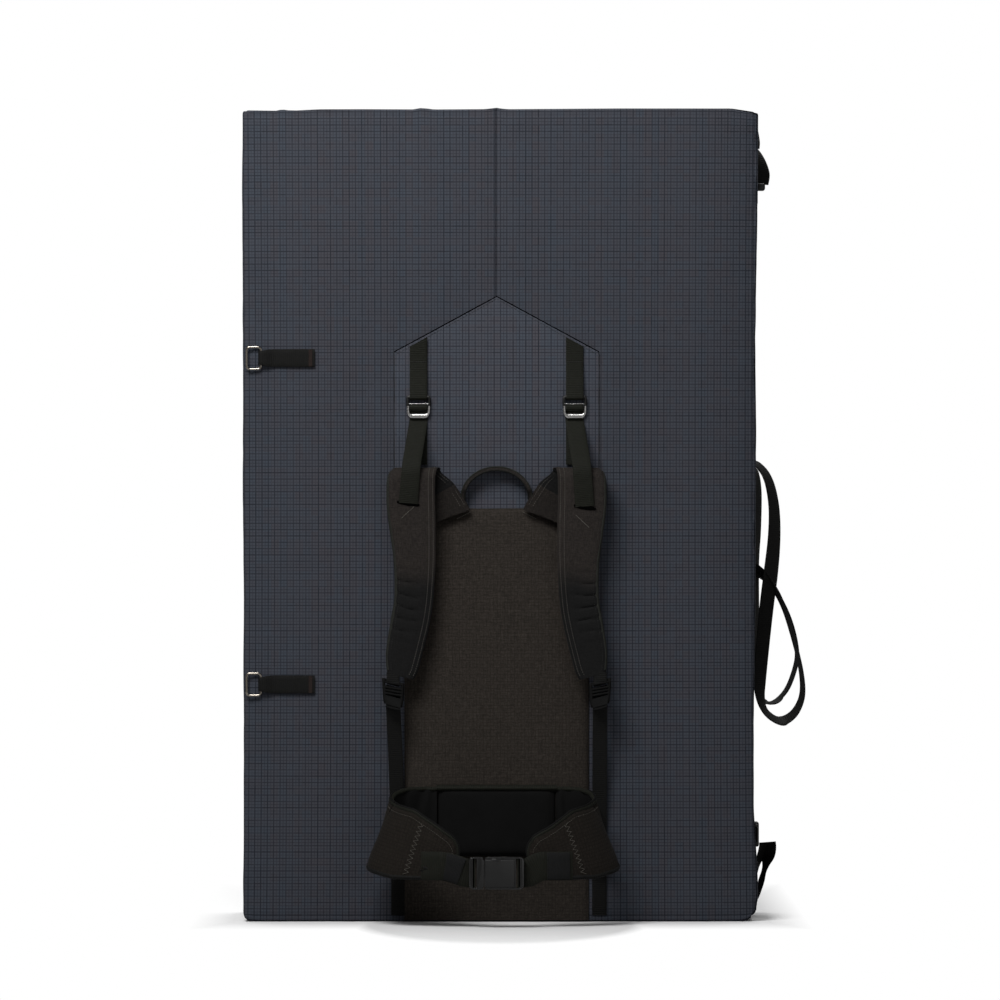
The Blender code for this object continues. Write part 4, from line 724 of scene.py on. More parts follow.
def chevron_panel():
    half = 131 * MM
    foot = 508 * MM

    def outline(s, t):
        x = (2 * s - 1) * half
        top = CHEVRON_HIGH.z - 71 * MM * abs(2 * s - 1)
        return HARNESS_X + x, foot + (top - foot) * t

    def height(s, t, x, z):
        side = min(s, 1 - s) * 2 * half
        down = (1 - t) * (outline(s, 1)[1] - foot) * 0.87
        edge = min(side, down, t * 0.1)
        rise = 1.1 * MM + 1.9 * MM * (1 - math.exp(-edge / (9 * MM)))
        ridge = 0.5 * MM * math.exp(-((edge - 1.6 * MM) / (1.2 * MM)) ** 2)
        wave = 0.6 * MM * ripple(x, 2.0, z, 0.08) * min(1, edge / 0.03)
        pucker = 0.5 * MM * noise.noise(Vector((x * 12, 0.3, z * 46))) * math.exp(-side / 0.02)
        return rise + ridge + wave + pucker + cover_waves(x, z)

    obj = laid_sheet("chevron_lit_cloth", 74, 72, outline, height, 1.0 * MM)
    box_map(obj.data)
    # the chevron's cloth carries painted light: a lighter copy of the cover's slate
    finish_piece(obj, chevron_lit_cloth, "back_half", ("chevron_panel",), 50)
    top = [(HARNESS_X + (2 * s - 1) * (half - 2.5 * MM), outline(s, 1)[1] - 3.2 * MM) for s in np.linspace(0, 1, 41)]
    path = [Vector((x, face_y(x, z) - 2.2 * MM - cover_waves(x, z), z)) for x, z in top]
    thread_rows("chevron_stitches", [(path, OUTWARD)], dark_thread, "back_half", "chevron_panel",
                long=3.2 * MM, wide=0.6 * MM)


def harness_panel():
    def outline(s, t):
        x = (2 * s - 1) * PANEL_HALF
        return HARNESS_X + x, PANEL_FOOT + (panel_top(x) - PANEL_FOOT) * t

    def height(s, t, x, z):
        puff = panel_puff(2 * s - 1, 2 * t - 1)
        edge = min(min(s, 1 - s) * 2 * PANEL_HALF, (1 - t) * PANEL_TOP, t * PANEL_TOP + 20 * MM)
        roll = 1 - 0.75 * math.exp(-edge / (2.2 * MM))
        wave = 0.8 * MM * ripple(x, 5.0, z, 0.09) * min(1, edge / 0.03)
        return 0.6 * MM + puff * roll + wave

    obj = laid_sheet("harness_cloth", 70, 120, outline, height, 1.0 * MM)
    box_map(obj.data)
    finish_piece(obj, panel_cloth, "back_half", ("harness_panel",), 50)


pad_cover("back")
pad_cover("front")
chevron_panel()
harness_panel()

def laid(path, across):
    """at(t, a, n) is the place at share t along the path, a across it and n out of it; so is its way out."""
    path = [Vector(p) for p in path]
    frames = []
    for i, (point, way) in enumerate(zip(path, headings(path))):
        side = across[i] if isinstance(across, list) else across
        side = (side - way * side.dot(way)).normalized()
        frames.append((point, side, side.cross(way).normalized()))

    def parts(t):
        spot = max(0, min(1, t)) * (len(frames) - 1)
        i = min(int(spot), len(frames) - 2)
        low, high = frames[i], frames[i + 1]
        return [a.lerp(b, spot - i) for a, b in zip(low, high)]

    def at(t, a, n):
        point, side, out = parts(t)
        return point + side * a + out * n

    return at, lambda t: parts(t)[2]


def span(low, high, count):
    return [low + (high - low) * i / count for i in range(count + 1)]


def cushion_ring(width, thickness, columns, edge=0.45, power=5, top=None, under=None):
    """A padded strap's cross-section; top(a) and under(a) add to its two faces."""
    def half(a):
        return thickness / 2 * (1 - (1 - edge) * abs(2 * a / width) ** power)

    places = [width / 2 * math.sin(math.pi / 2 * s) * 0.35 + width / 2 * s * 0.65 for s in span(-1, 1, columns)]
    upper = [(a, half(a) + (top(a) if top else 0)) for a in places]
    lower = [(a, -half(a) + (under(a) if under else 0)) for a in reversed(places)]
    nose = thickness / 2 * edge * 0.35
    return [(-width / 2 - nose, 0), *upper, (width / 2 + nose, 0), *lower]


def two_faced(obj, columns, first, second):
    """The upper face of a padded strap in one cloth and its underside in another."""
    ring = 2 * columns + 4
    obj.data.materials.append(first)
    obj.data.materials.append(second)
    for face in obj.data.polygons:
        face.material_index = int(face.index % ring > columns + 2)


def beads(name, path, radius, look, body, slot, closed=False, sides=8, angle=60):
    """Piping or wire: a round length along a path."""
    path = [Vector(p) for p in path]
    if closed:
        path = [*path, path[0]]
    ways = headings(path)
    if closed:
        ways[0] = ways[-1] = (path[1] - path[-2]).normalized()
    side = ways[0].orthogonal().normalized()
    rows = []
    for point, way in zip(path, ways):
        side = (side - way * side.dot(way)).normalized()
        out = way.cross(side)
        turns = [2 * math.pi * k / sides for k in range(sides + 1)]
        rows.append([point + (side * math.cos(t) + out * math.sin(t)) * radius for t in turns])
    obj = close_ring(sheet_of(name, rows))
    return finish_piece(obj, look, body, (), angle, slot)


def chevron_seams():
    """Thin dark beads along the second layer's edges: painted shade where its edges meet the cover."""
    half = 131 * MM
    rim = [(HARNESS_X + half * (2 * s - 1), 730 * MM + 71 * MM * (1 - abs(2 * s - 1))) for s in span(0, 1, 60)]
    seam = [Vector((x, face_y(x, z) - 1.4 * MM - cover_waves(x, z), z)) for x, z in rim]
    beads("chevron_seam", seam, 0.62 * MM, slit_and_seam_shade, "back_half", "chevron_panel", sides=6)
    for hand, (x, high) in (("left", rim[0]), ("right", rim[-1])):
        side_seam = [Vector((x, face_y(x, z) - 1.1 * MM - cover_waves(x, z), z)) for z in span(520 * MM, high, 60)]
        beads(f"chevron_{hand}_seam", side_seam, 0.5 * MM, seam_shadow, "back_half", "chevron_panel", sides=6)


chevron_seams()


def copy_of(node, look, body, bevel=0.0, segments=2, angle=40):
    """A hard piece kept at its shape, with its edges eased."""
    obj = frame["nodes"][node].copy()
    obj.data = obj.data.copy()
    obj.name = obj.data.name = node + "_finished"
    obj.parent = None
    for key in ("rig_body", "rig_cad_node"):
        if key in obj:
            del obj[key]
    bpy.context.scene.collection.objects.link(obj)
    alone(obj)
    bpy.ops.object.mode_set(mode="EDIT")
    bpy.ops.mesh.select_all(action="SELECT")
    bpy.ops.mesh.remove_doubles(threshold=0.00001)
    bpy.ops.mesh.dissolve_limited(angle_limit=math.radians(1))
    bpy.ops.mesh.normals_make_consistent(inside=False)
    bpy.ops.object.mode_set(mode="OBJECT")
    if bevel:
        bpy.ops.object.modifier_add(type="BEVEL")
        edge = obj.modifiers[-1]
        edge.width = bevel
        edge.segments = segments
        edge.limit_method = "ANGLE"
        edge.angle_limit = math.radians(30)
        edge.use_clamp_overlap = True
        bpy.ops.object.modifier_apply(modifier=edge.name)
    while obj.data.uv_layers:
        obj.data.uv_layers.remove(obj.data.uv_layers[0])
    box_map(obj.data)
    return finish_piece(obj, look, body, (node,), angle)


# Shoulder straps
STRAP_BACK_Y = -68.67 * MM
STRAP_FRONT_Y = -90.67 * MM
STRAP_FOLD = 11 * MM
STRAP_TOP = 577 * MM
STRAP_THICK = 10 * MM
STRAP_WIDTH = 60 * MM
STRAP_SPREAD = 109 * MM
STRAP_BACK = ((0.60, 0.872, 0.80), (0.67, 0.912, 0.82), (0.77, 0.946, 0.86), (0.88, 0.975, 0.93))
STRAP_FRONT = (
    (1.00, 0.932, 1.00), (0.985, 0.888, 0.97), (0.955, 0.802, 0.86),
    (0.965, 0.718, 0.80), (1.01, 0.664, 0.80), (1.075, 0.602, 0.75), (1.10, 0.566, 0.66), (1.125, 0.546, 0.55),
)
FOLD_Z = STRAP_TOP - STRAP_FOLD
STRAP_COLUMNS = 26
BAND = 10.5 * MM


def strap_place(side, spread, y, z):
    return Vector((HARNESS_X + side * spread * STRAP_SPREAD, y, z))


def strap_points(side):
    """The middle line and the widths of the layer behind the fold and of the strap before it."""
    back = [(strap_place(side, a, STRAP_BACK_Y, z * STRAP_TOP), w * STRAP_WIDTH) for a, z, w in STRAP_BACK]
    fold = []
    for i in range(7):
        turn = math.pi * i / 6
        spread = 0.88 + 0.12 * math.sin(math.pi / 2 * (i + 1) / 7)
        middle = (STRAP_BACK_Y + STRAP_FRONT_Y) / 2
        fold.append((strap_place(side, spread, middle + STRAP_FOLD * math.cos(turn),
                                 FOLD_Z + STRAP_FOLD * math.sin(turn)), STRAP_WIDTH))
    front = [(strap_place(side, a, STRAP_FRONT_Y, z * STRAP_TOP), w * STRAP_WIDTH) for a, z, w in STRAP_FRONT]
    return [*back, (fold[0][0] - UP * GAP / 2, STRAP_WIDTH)], [(fold[0][0] + UP * GAP / 2, STRAP_WIDTH), *fold[1:], *front]


def along_path(pairs, steps):
    """A smooth middle line, and the width at each of its points."""
    line = smooth([p for p, w in pairs], steps)
    widths = smooth([Vector((w, 0, 0)) for p, w in pairs], steps)
    return line, [w.x for w in widths]


def resampled(line, widths, step):
    """The same middle line and widths at equal steps along it."""
    points, wide = even(line, step, [Vector((w, 0, 1)) for w in widths])
    return points, [w.x / w.z for w in wide]


def width_at(widths, t):
    spot = t * (len(widths) - 1)
    i = min(int(spot), len(widths) - 2)
    return widths[i] + (widths[i + 1] - widths[i]) * (spot - i)


def strap_rise(side, inner, point_z, a, width):
    """What the sewing adds to a strap's outer face: the groove beside its inner band and the puckers."""
    from_inner = width / 2 - a * inner
    rise = -0.9 * MM * math.exp(-((from_inner - BAND) / (0.9 * MM)) ** 2)
    rise -= 0.35 * MM * math.exp(-((from_inner - 2.6 * MM) / (0.7 * MM)) ** 2)
    rise -= 0.35 * MM * math.exp(-((from_inner - 8.0 * MM) / (0.7 * MM)) ** 2)
    tall = math.exp(-((point_z - 408 * MM) / (46 * MM)) ** 4)
    wide = 1 / (1 + math.exp(-(from_inner - 17 * MM) / (2.5 * MM)))
    drift = noise.noise(Vector((a * 30, side * 5, point_z * 16))) * 1.3
    crease = (1 - abs(math.sin(math.pi * (point_z - a * 0.12) / (15.5 * MM) + drift))) ** 3
    rise -= 2.5 * MM * crease * tall * wide
    rise += 0.5 * MM * noise.noise(Vector((a * 40, side, point_z * 40)))
    return rise


def under_fold(point):
    """Keeps a point of a strap's fold from standing up past the fold's top."""
    return point - UP * max(0, point.z - 581.5 * MM) * 0.85


def round_shoulder(obj):
    """Lowers the outer corner of a strap's fold."""
    for vertex in obj.data.vertices:
        p = vertex.co
        over = max(0, abs(p.x - HARNESS_X) - STRAP_SPREAD - STRAP_WIDTH / 2 + 14 * MM) / (14 * MM)
        p.z -= 7.5 * MM * min(1.2, over) ** 2 * max(0, min(1, (p.z - 540 * MM) / (35 * MM)))
        vertex.co = under_fold(p)


YOKE_Z = (503, 526, 546, 563, 575)
YOKE_INNER = (41.4, 48.4, 58.1, 68.0, 68.0)
YOKE_DRAWN_IN = (30.0, 35.5, 49.0, 61.0, 68.0)
YOKE_OUTER = (89.4, 97.6, 109.7, 123.8, 127.0)


def drawn_in(point):
    """Carries a yoke's inner edge in towards the panel's middle."""
    side = math.copysign(1, point.x - HARNESS_X)
    inner, target, outer = (float(np.interp(point.z / MM, YOKE_Z, row)) * MM for row in (YOKE_INNER, YOKE_DRAWN_IN, YOKE_OUTER))
    far = abs(point.x - HARNESS_X)
    wide = outer - (outer - far) * (outer - target) / (outer - inner)
    return Vector((HARNESS_X + side * wide, point.y, point.z))


def shoulder_straps(name, side):
    """A padded strap: its layer behind, the fold and the layer in front, with band, binding and stitches."""
    back, front = strap_points(side)
    body = name + "_shoulder_strap"
    across = Vector((-1, 0, 0))
    inner = side

    line, widths = along_path(front, 8)
    line, widths = resampled(line, widths, 2.2 * MM)
    at, out_at = laid(line, across)
    obj = run_of(body + "_padding", line, across, lambda t: cushion_ring(
        width_at(widths, t), STRAP_THICK, STRAP_COLUMNS,
        top=lambda a: strap_rise(side, inner, at(t, 0, 0).z, a, width_at(widths, t)) * min(1, t * 20),
        under=lambda a: 0.5 * MM * noise.noise(Vector((a * 60, side, at(t, 0, 0).z * 90)))))
    two_faced(obj, STRAP_COLUMNS, strap_cloth, strap_lining)
    round_shoulder(obj)
    finish_piece(obj, None, body, (body,), 50)

    def edge_line(t, inset, proud, hand):
        wide = width_at(widths, t)
        a = hand * (wide / 2 - inset)
        fall = STRAP_THICK / 2 * (1 - 0.55 * abs(2 * a / wide) ** 5)
        return at(t, a, fall + proud)

    shares = span(0.02, 0.985, 90)
    outer_tape = run_of(body + "_outer_binding", [at(t, -inner * (width_at(widths, t) / 2 - 1.2 * MM), 0) for t in shares],
                        [Vector((-1, 0, 0))] * len(shares),
                        lambda t: [(math.cos(k * math.pi / 8) * 2.6 * MM, math.sin(k * math.pi / 8) * 3.1 * MM)
                                   for k in range(16)])
    round_shoulder(outer_tape)
    finish_piece(outer_tape, pale_edge, body, (), 60, body)
    for row, inset in enumerate((2.6 * MM, 8.0 * MM)):
        path = [under_fold(edge_line(t, inset, -0.05 * MM, inner)) for t in shares[4:]]
        outs = [out_at(t) for t in shares[4:]]
        thread_rows(f"{body}_band_stitches_{row + 1}", [(path, outs)], pale_thread, body, body,
                    pitch=3.0 * MM, long=1.9 * MM, wide=0.85 * MM)
    path = [under_fold(edge_line(t, 5.0 * MM, -0.1 * MM, -inner)) for t in shares]
    thread_rows(body + "_binding_stitches", [(path, [out_at(t) for t in shares])], dark_thread, body, body,
                pitch=3.0 * MM, long=2.0 * MM, wide=0.6 * MM)

    line, widths_back = along_path(back, 6)
    yoke = name + "_strap_yoke"
    lay, lay_out = laid(line, across)
    obj = run_of(yoke + "_padding", line, across, lambda t: cushion_ring(
        width_at(widths_back, t), STRAP_THICK, STRAP_COLUMNS,
        under=lambda a: (0.7 * MM * math.exp(-((width_at(widths_back, t) / 2 - a * inner - BAND) / (0.9 * MM)) ** 2)
                         - 0.5 * MM * noise.noise(Vector((a * 45, side, t * 5))))))
    for vertex in obj.data.vertices:
        vertex.co = drawn_in(vertex.co)
    round_shoulder(obj)
    alone(obj)
    bpy.ops.object.mode_set(mode="EDIT")
    bpy.ops.mesh.select_all(action="SELECT")
    bpy.ops.mesh.bisect(plane_co=(HARNESS_X + side * 70 * MM, 0, panel_top(70 * MM) - 3 * MM),
                        plane_no=(side * PANEL_SHOULDER, 0, PANEL_HALF - PANEL_TOP_HALF),
                        use_fill=True, clear_inner=True)
    bpy.ops.object.mode_set(mode="OBJECT")
    # the yoke's outer face takes the strap cloth's darker copy: painted shade
    obj.data.materials.append(shaded_yoke_cloth)
    obj.data.materials.append(strap_lining)
    for face in obj.data.polygons:
        spot = face.center
        far = abs(spot.x - HARNESS_X)
        if spot.y < STRAP_BACK_Y - 1 * MM and spot.z > 546.5 * MM + (79.3 * MM - far) * 0.55:
            face.material_index = 1
    finish_piece(obj, None, "back_half", (yoke,), 50)
    shoulder = [Vector((HARNESS_X + side * x, 0, panel_top(x) - 1.2 * MM)) for x in span(36 * MM, 117 * MM, 44)]
    for p in shoulder:
        p.y = min(panel_front(p.x - HARNESS_X, p.z - 3 * MM), STRAP_BACK_Y - 1.5 * MM) - 0.4 * MM
    roll = run_of(name + "_shoulder_roll", shoulder, UP, lambda t: [
        (math.cos(k * math.pi / 6) * 2.6 * MM * min(1, 0.15 + 5 * t, 0.15 + 5 * (1 - t)),
         math.sin(k * math.pi / 6) * 2.2 * MM * min(1, 0.15 + 5 * t, 0.15 + 5 * (1 - t))) for k in range(12)])
    finish_piece(roll, panel_cloth, "back_half", (), 60, "harness_panel")
    shares = span(0.24, 1.0, 40)
    for row, inset in enumerate((2.6 * MM, 7.4 * MM)):
        path, outs = [], []
        for t in shares:
            wide = width_at(widths_back, t)
            a = inner * (wide / 2 - inset)
            fall = STRAP_THICK / 2 * (1 - 0.55 * abs(2 * a / wide) ** 5)
            path.append(under_fold(drawn_in(lay(t, a, -fall + 0.05 * MM))))
            outs.append(-lay_out(t))
        thread_rows(f"{yoke}_stitches_{row + 1}", [(path, outs)], pale_thread, "back_half", yoke,
                    pitch=3.0 * MM, long=1.9 * MM, wide=0.7 * MM)

    # The slit that takes the lifter webbing, its dark inside a near-black lip of painted shade, and the sewn line that
    # runs from it
    slit_z = 536 * MM if side < 0 else 531 * MM
    front_y = STRAP_FRONT_Y - STRAP_THICK / 2
    slit = [Vector((HARNESS_X + side * (112.5 * MM + d), front_y - 0.9 * MM, slit_z + d * 0.16 * -side)) for d in span(-14 * MM, 14 * MM, 10)]
    lip = run_of(body + "_slit", slit, UP, lambda t: [
        (math.cos(k * math.pi / 6) * 2.9 * MM * math.sin(math.pi * min(0.95, max(0.05, t))) ** 0.4,
         math.sin(k * math.pi / 6) * 1.1 * MM) for k in range(12)])
    finish_piece(lip, slit_and_seam_shade, body, (), 60, body)
    if side < 0:
        dash = [Vector((HARNESS_X - (111 * MM + 10 * MM) + 16 * MM * s, front_y - 0.45 * MM, 517 * MM + 15 * MM * s)) for s in span(0, 1, 12)]
    else:
        dash = [Vector((HARNESS_X + 101 * MM + 17 * MM * s, front_y - 0.45 * MM, 521 * MM - 16 * MM * s)) for s in span(0, 1, 12)]
    thread_rows(body + "_dash", [(dash, OUTWARD)], pale_thread, body, body, pitch=2.2 * MM, long=2.3 * MM, wide=1.1 * MM)
    tack = [Vector((HARNESS_X + side * (33 * MM + 18 * MM * s), 0, 525 * MM - 9 * MM * s)) for s in span(0, 1, 12)]
    for p in tack:
        p.y = panel_front(p.x - HARNESS_X, p.z) - 1.2 * MM
    thread_rows(yoke + "_tack", [(tack, OUTWARD)], pale_thread, "back_half", yoke, pitch=2.2 * MM, long=2.3 * MM,
                wide=1.1 * MM)


def plate(name, xs, zs, holes, thickness, bevel, shape=None, segments=3):
    """A flat moulded frame: a grid at the given lines, its holes left open, drawn out to its thickness."""
    bpy.ops.object.select_all(action="DESELECT")
    bpy.ops.mesh.primitive_grid_add(x_subdivisions=len(xs) - 1, y_subdivisions=len(zs) - 1, size=1)
    obj = bpy.context.object
    obj.name = obj.data.name = name
    obj.data.vertices.foreach_set("co", np.array([[(x, -thickness / 2, z) for x in xs] for z in zs]).reshape(-1))
    bpy.ops.object.mode_set(mode="EDIT")
    bpy.ops.mesh.select_mode(type="FACE")
    bpy.ops.mesh.select_all(action="DESELECT")
    bpy.ops.object.mode_set(mode="OBJECT")
    for face in obj.data.polygons:
        column, row = face.index % (len(xs) - 1), face.index // (len(xs) - 1)
        face.select = any(c0 <= column < c1 and r0 <= row < r1 for c0, c1, r0, r1 in holes)
    bpy.ops.object.mode_set(mode="EDIT")
    if holes:
        bpy.ops.mesh.delete(type="FACE")
    bpy.ops.mesh.select_all(action="SELECT")
    bpy.ops.mesh.extrude_region_move(TRANSFORM_OT_translate={"value": (0, thickness, 0)})
    bpy.ops.mesh.select_all(action="SELECT")
    bpy.ops.mesh.dissolve_limited(angle_limit=math.radians(1))
    bpy.ops.mesh.normals_make_consistent(inside=False)
    bpy.ops.object.mode_set(mode="OBJECT")
    corner = obj.modifiers.new("round", "BEVEL")
    corner.width = bevel
    corner.segments = segments
    corner.limit_method = "ANGLE"
    bpy.ops.object.modifier_apply(modifier=corner.name)
    if shape:
        for vertex in obj.data.vertices:
            vertex.co = shape(vertex.co)
    box_map(obj.data)
    return obj


def ladder_lock(name, side):
    """The plastic buckle at a strap's end: four-sided frame, ribbed bar and a curled thumb lip."""
    place = Vector((HARNESS_X + side * 132 * MM, STRAP_FRONT_Y, 308 * MM))
    slant = Matrix(((1, 0, side * 0.29, 0), (0, 1, 0, 0), (0, 0, 1, 0), (0, 0, 0, 1)))
    turn = Matrix.Translation(place) @ slant @ Matrix.Rotation(side * -math.radians(16), 4, "Y")
    node = name + "_ladder_lock"

    half = 13.5 * MM

    def curl(p):
        low = max(0, -24 * MM - p.z)
        narrow = 1 - 0.16 * max(0, min(1, (-p.z - 6 * MM) / (30 * MM))) ** 1.5
        return turn @ Vector((p.x * narrow, p.y - low ** 2 * 26 - 0.4 * MM, p.z + low * 0.5 * (abs(p.x) / half) ** 3))

    frame_plate = plate(node + "_frame", [-half, -half + 3.6 * MM, half - 3.6 * MM, half],
                        [-36 * MM, -26.5 * MM, -22 * MM, -18 * MM, -16 * MM, -12 * MM, -8 * MM, -2 * MM, 2 * MM],
                        [(1, 2, 2, 4), (1, 2, 6, 7)], 4.0 * MM, 1.0 * MM, curl)
    finish_piece(frame_plate, lock_black, node, (node,), 50)
    for hand, x in (("inner", -11.6 * MM), ("outer", 11.6 * MM)):
        rail = [Vector((x * (1 - 0.14 * s), -4.0 * MM, 1.6 * MM - 30 * MM * s)) for s in span(0, 1, 14)]
        piece = run_of(f"{node}_{hand}_rail", [turn @ p for p in rail], [turn.to_3x3() @ RIGHT] * 15, lambda t: [
            (math.cos(k * math.pi / 6) * 2.1 * MM, math.sin(k * math.pi / 6) * 2.7 * MM * min(1, 0.5 + 6 * t)) for k in range(12)])
        finish_piece(piece, lock_black, node, (), 60, node)
    for row, (z, deep) in enumerate(((-1.6 * MM, 0.9), (-8.0 * MM, 1.0), (-12.0 * MM, 1.0), (-16.0 * MM, 1.0))):
        bar = [Vector((x, -5.9 * MM if row else -6.5 * MM, z - side * x * 0.10)) for x in span(-10.6 * MM, 10.6 * MM, 8)]
        ridge = run_of(f"{node}_rib_{row + 1}", [turn @ p for p in bar], [turn.to_3x3() @ UP] * 9,
                       lambda t: [(math.cos(k * math.pi / 5) * 1.35 * MM * deep, math.sin(k * math.pi / 5) * 1.0 * MM)
                                  for k in range(10)])
        finish_piece(ridge, lock_black, node, (), 60, node)
    shield = plate(node + "_thumb_plate", span(-10.8 * MM, 10.8 * MM, 6), span(-35.5 * MM, -19.5 * MM, 5), [], 2.4 * MM,
                   0.9 * MM, lambda p: turn @ Vector((
                       p.x * (1 + (p.z + 19.5 * MM) * 9), p.y - 4.9 * MM - 60 * max(0, -27 * MM - p.z) ** 2,
                       p.z + max(0, -27 * MM - p.z) * 0.6 * (abs(p.x) / (10.8 * MM)) ** 3)))
    finish_piece(shield, lock_black, node, (), 50, node)
    lip = [turn @ Vector((x, -9.2 * MM, -34.8 * MM + abs(x) ** 2 * 12)) for x in span(-9 * MM, 9 * MM, 12)]
    roll = run_of(node + "_thumb_lip", lip, [turn.to_3x3() @ UP] * 13, lambda t: [
        (math.cos(k * math.pi / 6) * 1.9 * MM * math.sin(math.pi * min(0.93, max(0.07, t))) ** 0.35,
         math.sin(k * math.pi / 6) * 1.6 * MM * math.sin(math.pi * min(0.93, max(0.07, t))) ** 0.35) for k in range(12)])
    finish_piece(roll, lock_black, node, (), 60, node)
    return turn


def around_bar(thickness, bar):
    return math.hypot(thickness / 2, bar / 2) + 0.4 * MM + WEB / 2


def through_buckle(thickness, bar, slot, below, tail):
    """Webbing's way through a buckle: up behind it, over its middle bar and down again as a tail."""
    middle = -(bar + slot)
    around = around_bar(thickness, bar)
    back = thickness / 2 + 0.4 * MM + WEB / 2
    behind = back + WEB + 0.4 * MM
    path = [(back, below), (back, middle - bar / 2 - slot), (back * 0.8, middle - around - bar * 0.3)]
    for i in range(13):
        angle = math.radians(-90 - 15 * i)
        path.append((around * math.cos(angle), middle + around * math.sin(angle)))
    path += [(behind * 0.8, middle + around * 0.75), (behind, middle), (behind, middle - bar - slot),
             (behind, middle - tail)]
    return path


def over_bar(turn, thickness, bar, top, back_top, top_y=None, back_y=None):
    """Webbing that comes down before a bar, turns under it and goes up again behind it."""
    around = around_bar(thickness, bar)
    front = -around if top_y is None else top_y
    rear = around if back_y is None else back_y
    shape = [(front, top), (front, (top + around) / 2), (-around, around * 0.6)]
    for i in range(13):
        angle = math.pi * i / 12
        shape.append((-around * math.cos(angle), -around * math.sin(angle)))
    shape += [(rear, around * 1.2), (rear, back_top)]
    return [turn @ Vector((0, y, z)) for y, z in shape]


def adjusting_webbing(name, side, turn):
    """The loop on the strap's end, and the webbing that comes up to the ladder lock from the panel's foot."""
    strap = name + "_shoulder_strap"
    level = turn.to_3x3() @ RIGHT
    end = 0.556 * STRAP_TOP - GAP - 308 * MM - 9 * MM * math.sin(math.radians(16))
    loop = over_bar(turn, 4 * MM, 4 * MM, end + 3 * MM, end + 3 * MM)
    webbing(name + "_loop_webbing", smooth(loop, 3), level, 16.5 * MM, black_tape, strap, (name + "_strap_loop",))
    path = [turn @ Vector((0, y, z)) for y, z in through_buckle(4 * MM, 4 * MM, 6 * MM, -34 * MM, 20 * MM)]
    foot_x = HARNESS_X + side * (PANEL_HALF + GAP + 7.5 * MM) + (6 * MM if side > 0 else 0)
    lower = []
    for share in (0.0, 0.08, 0.2, 0.3, 0.4, 0.5, 0.6, 0.7, 0.8, 0.88):
        z = 8 * MM + (path[0].z - 8 * MM) * share
        rest = face_y(foot_x, z) - GAP - WEB / 2
        reach = max(0, share - 0.08) / (1 - 0.08)
        lower.append(Vector((foot_x + (path[0].x - foot_x) * reach ** 2, rest + (path[0].y - rest) * reach ** 2, z)))
    full = smooth(lower + path, 3)
    turned = [RIGHT if p.z < 240 * MM else RIGHT.lerp(level, min(1, (p.z - 240 * MM) / (25 * MM))) for p in full]
    obj = webbing(name + "_adjusting_webbing", full, turned, 18.6 * MM, black_tape, None,
                  (name + "_adjust_webbing",))
    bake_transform(obj)


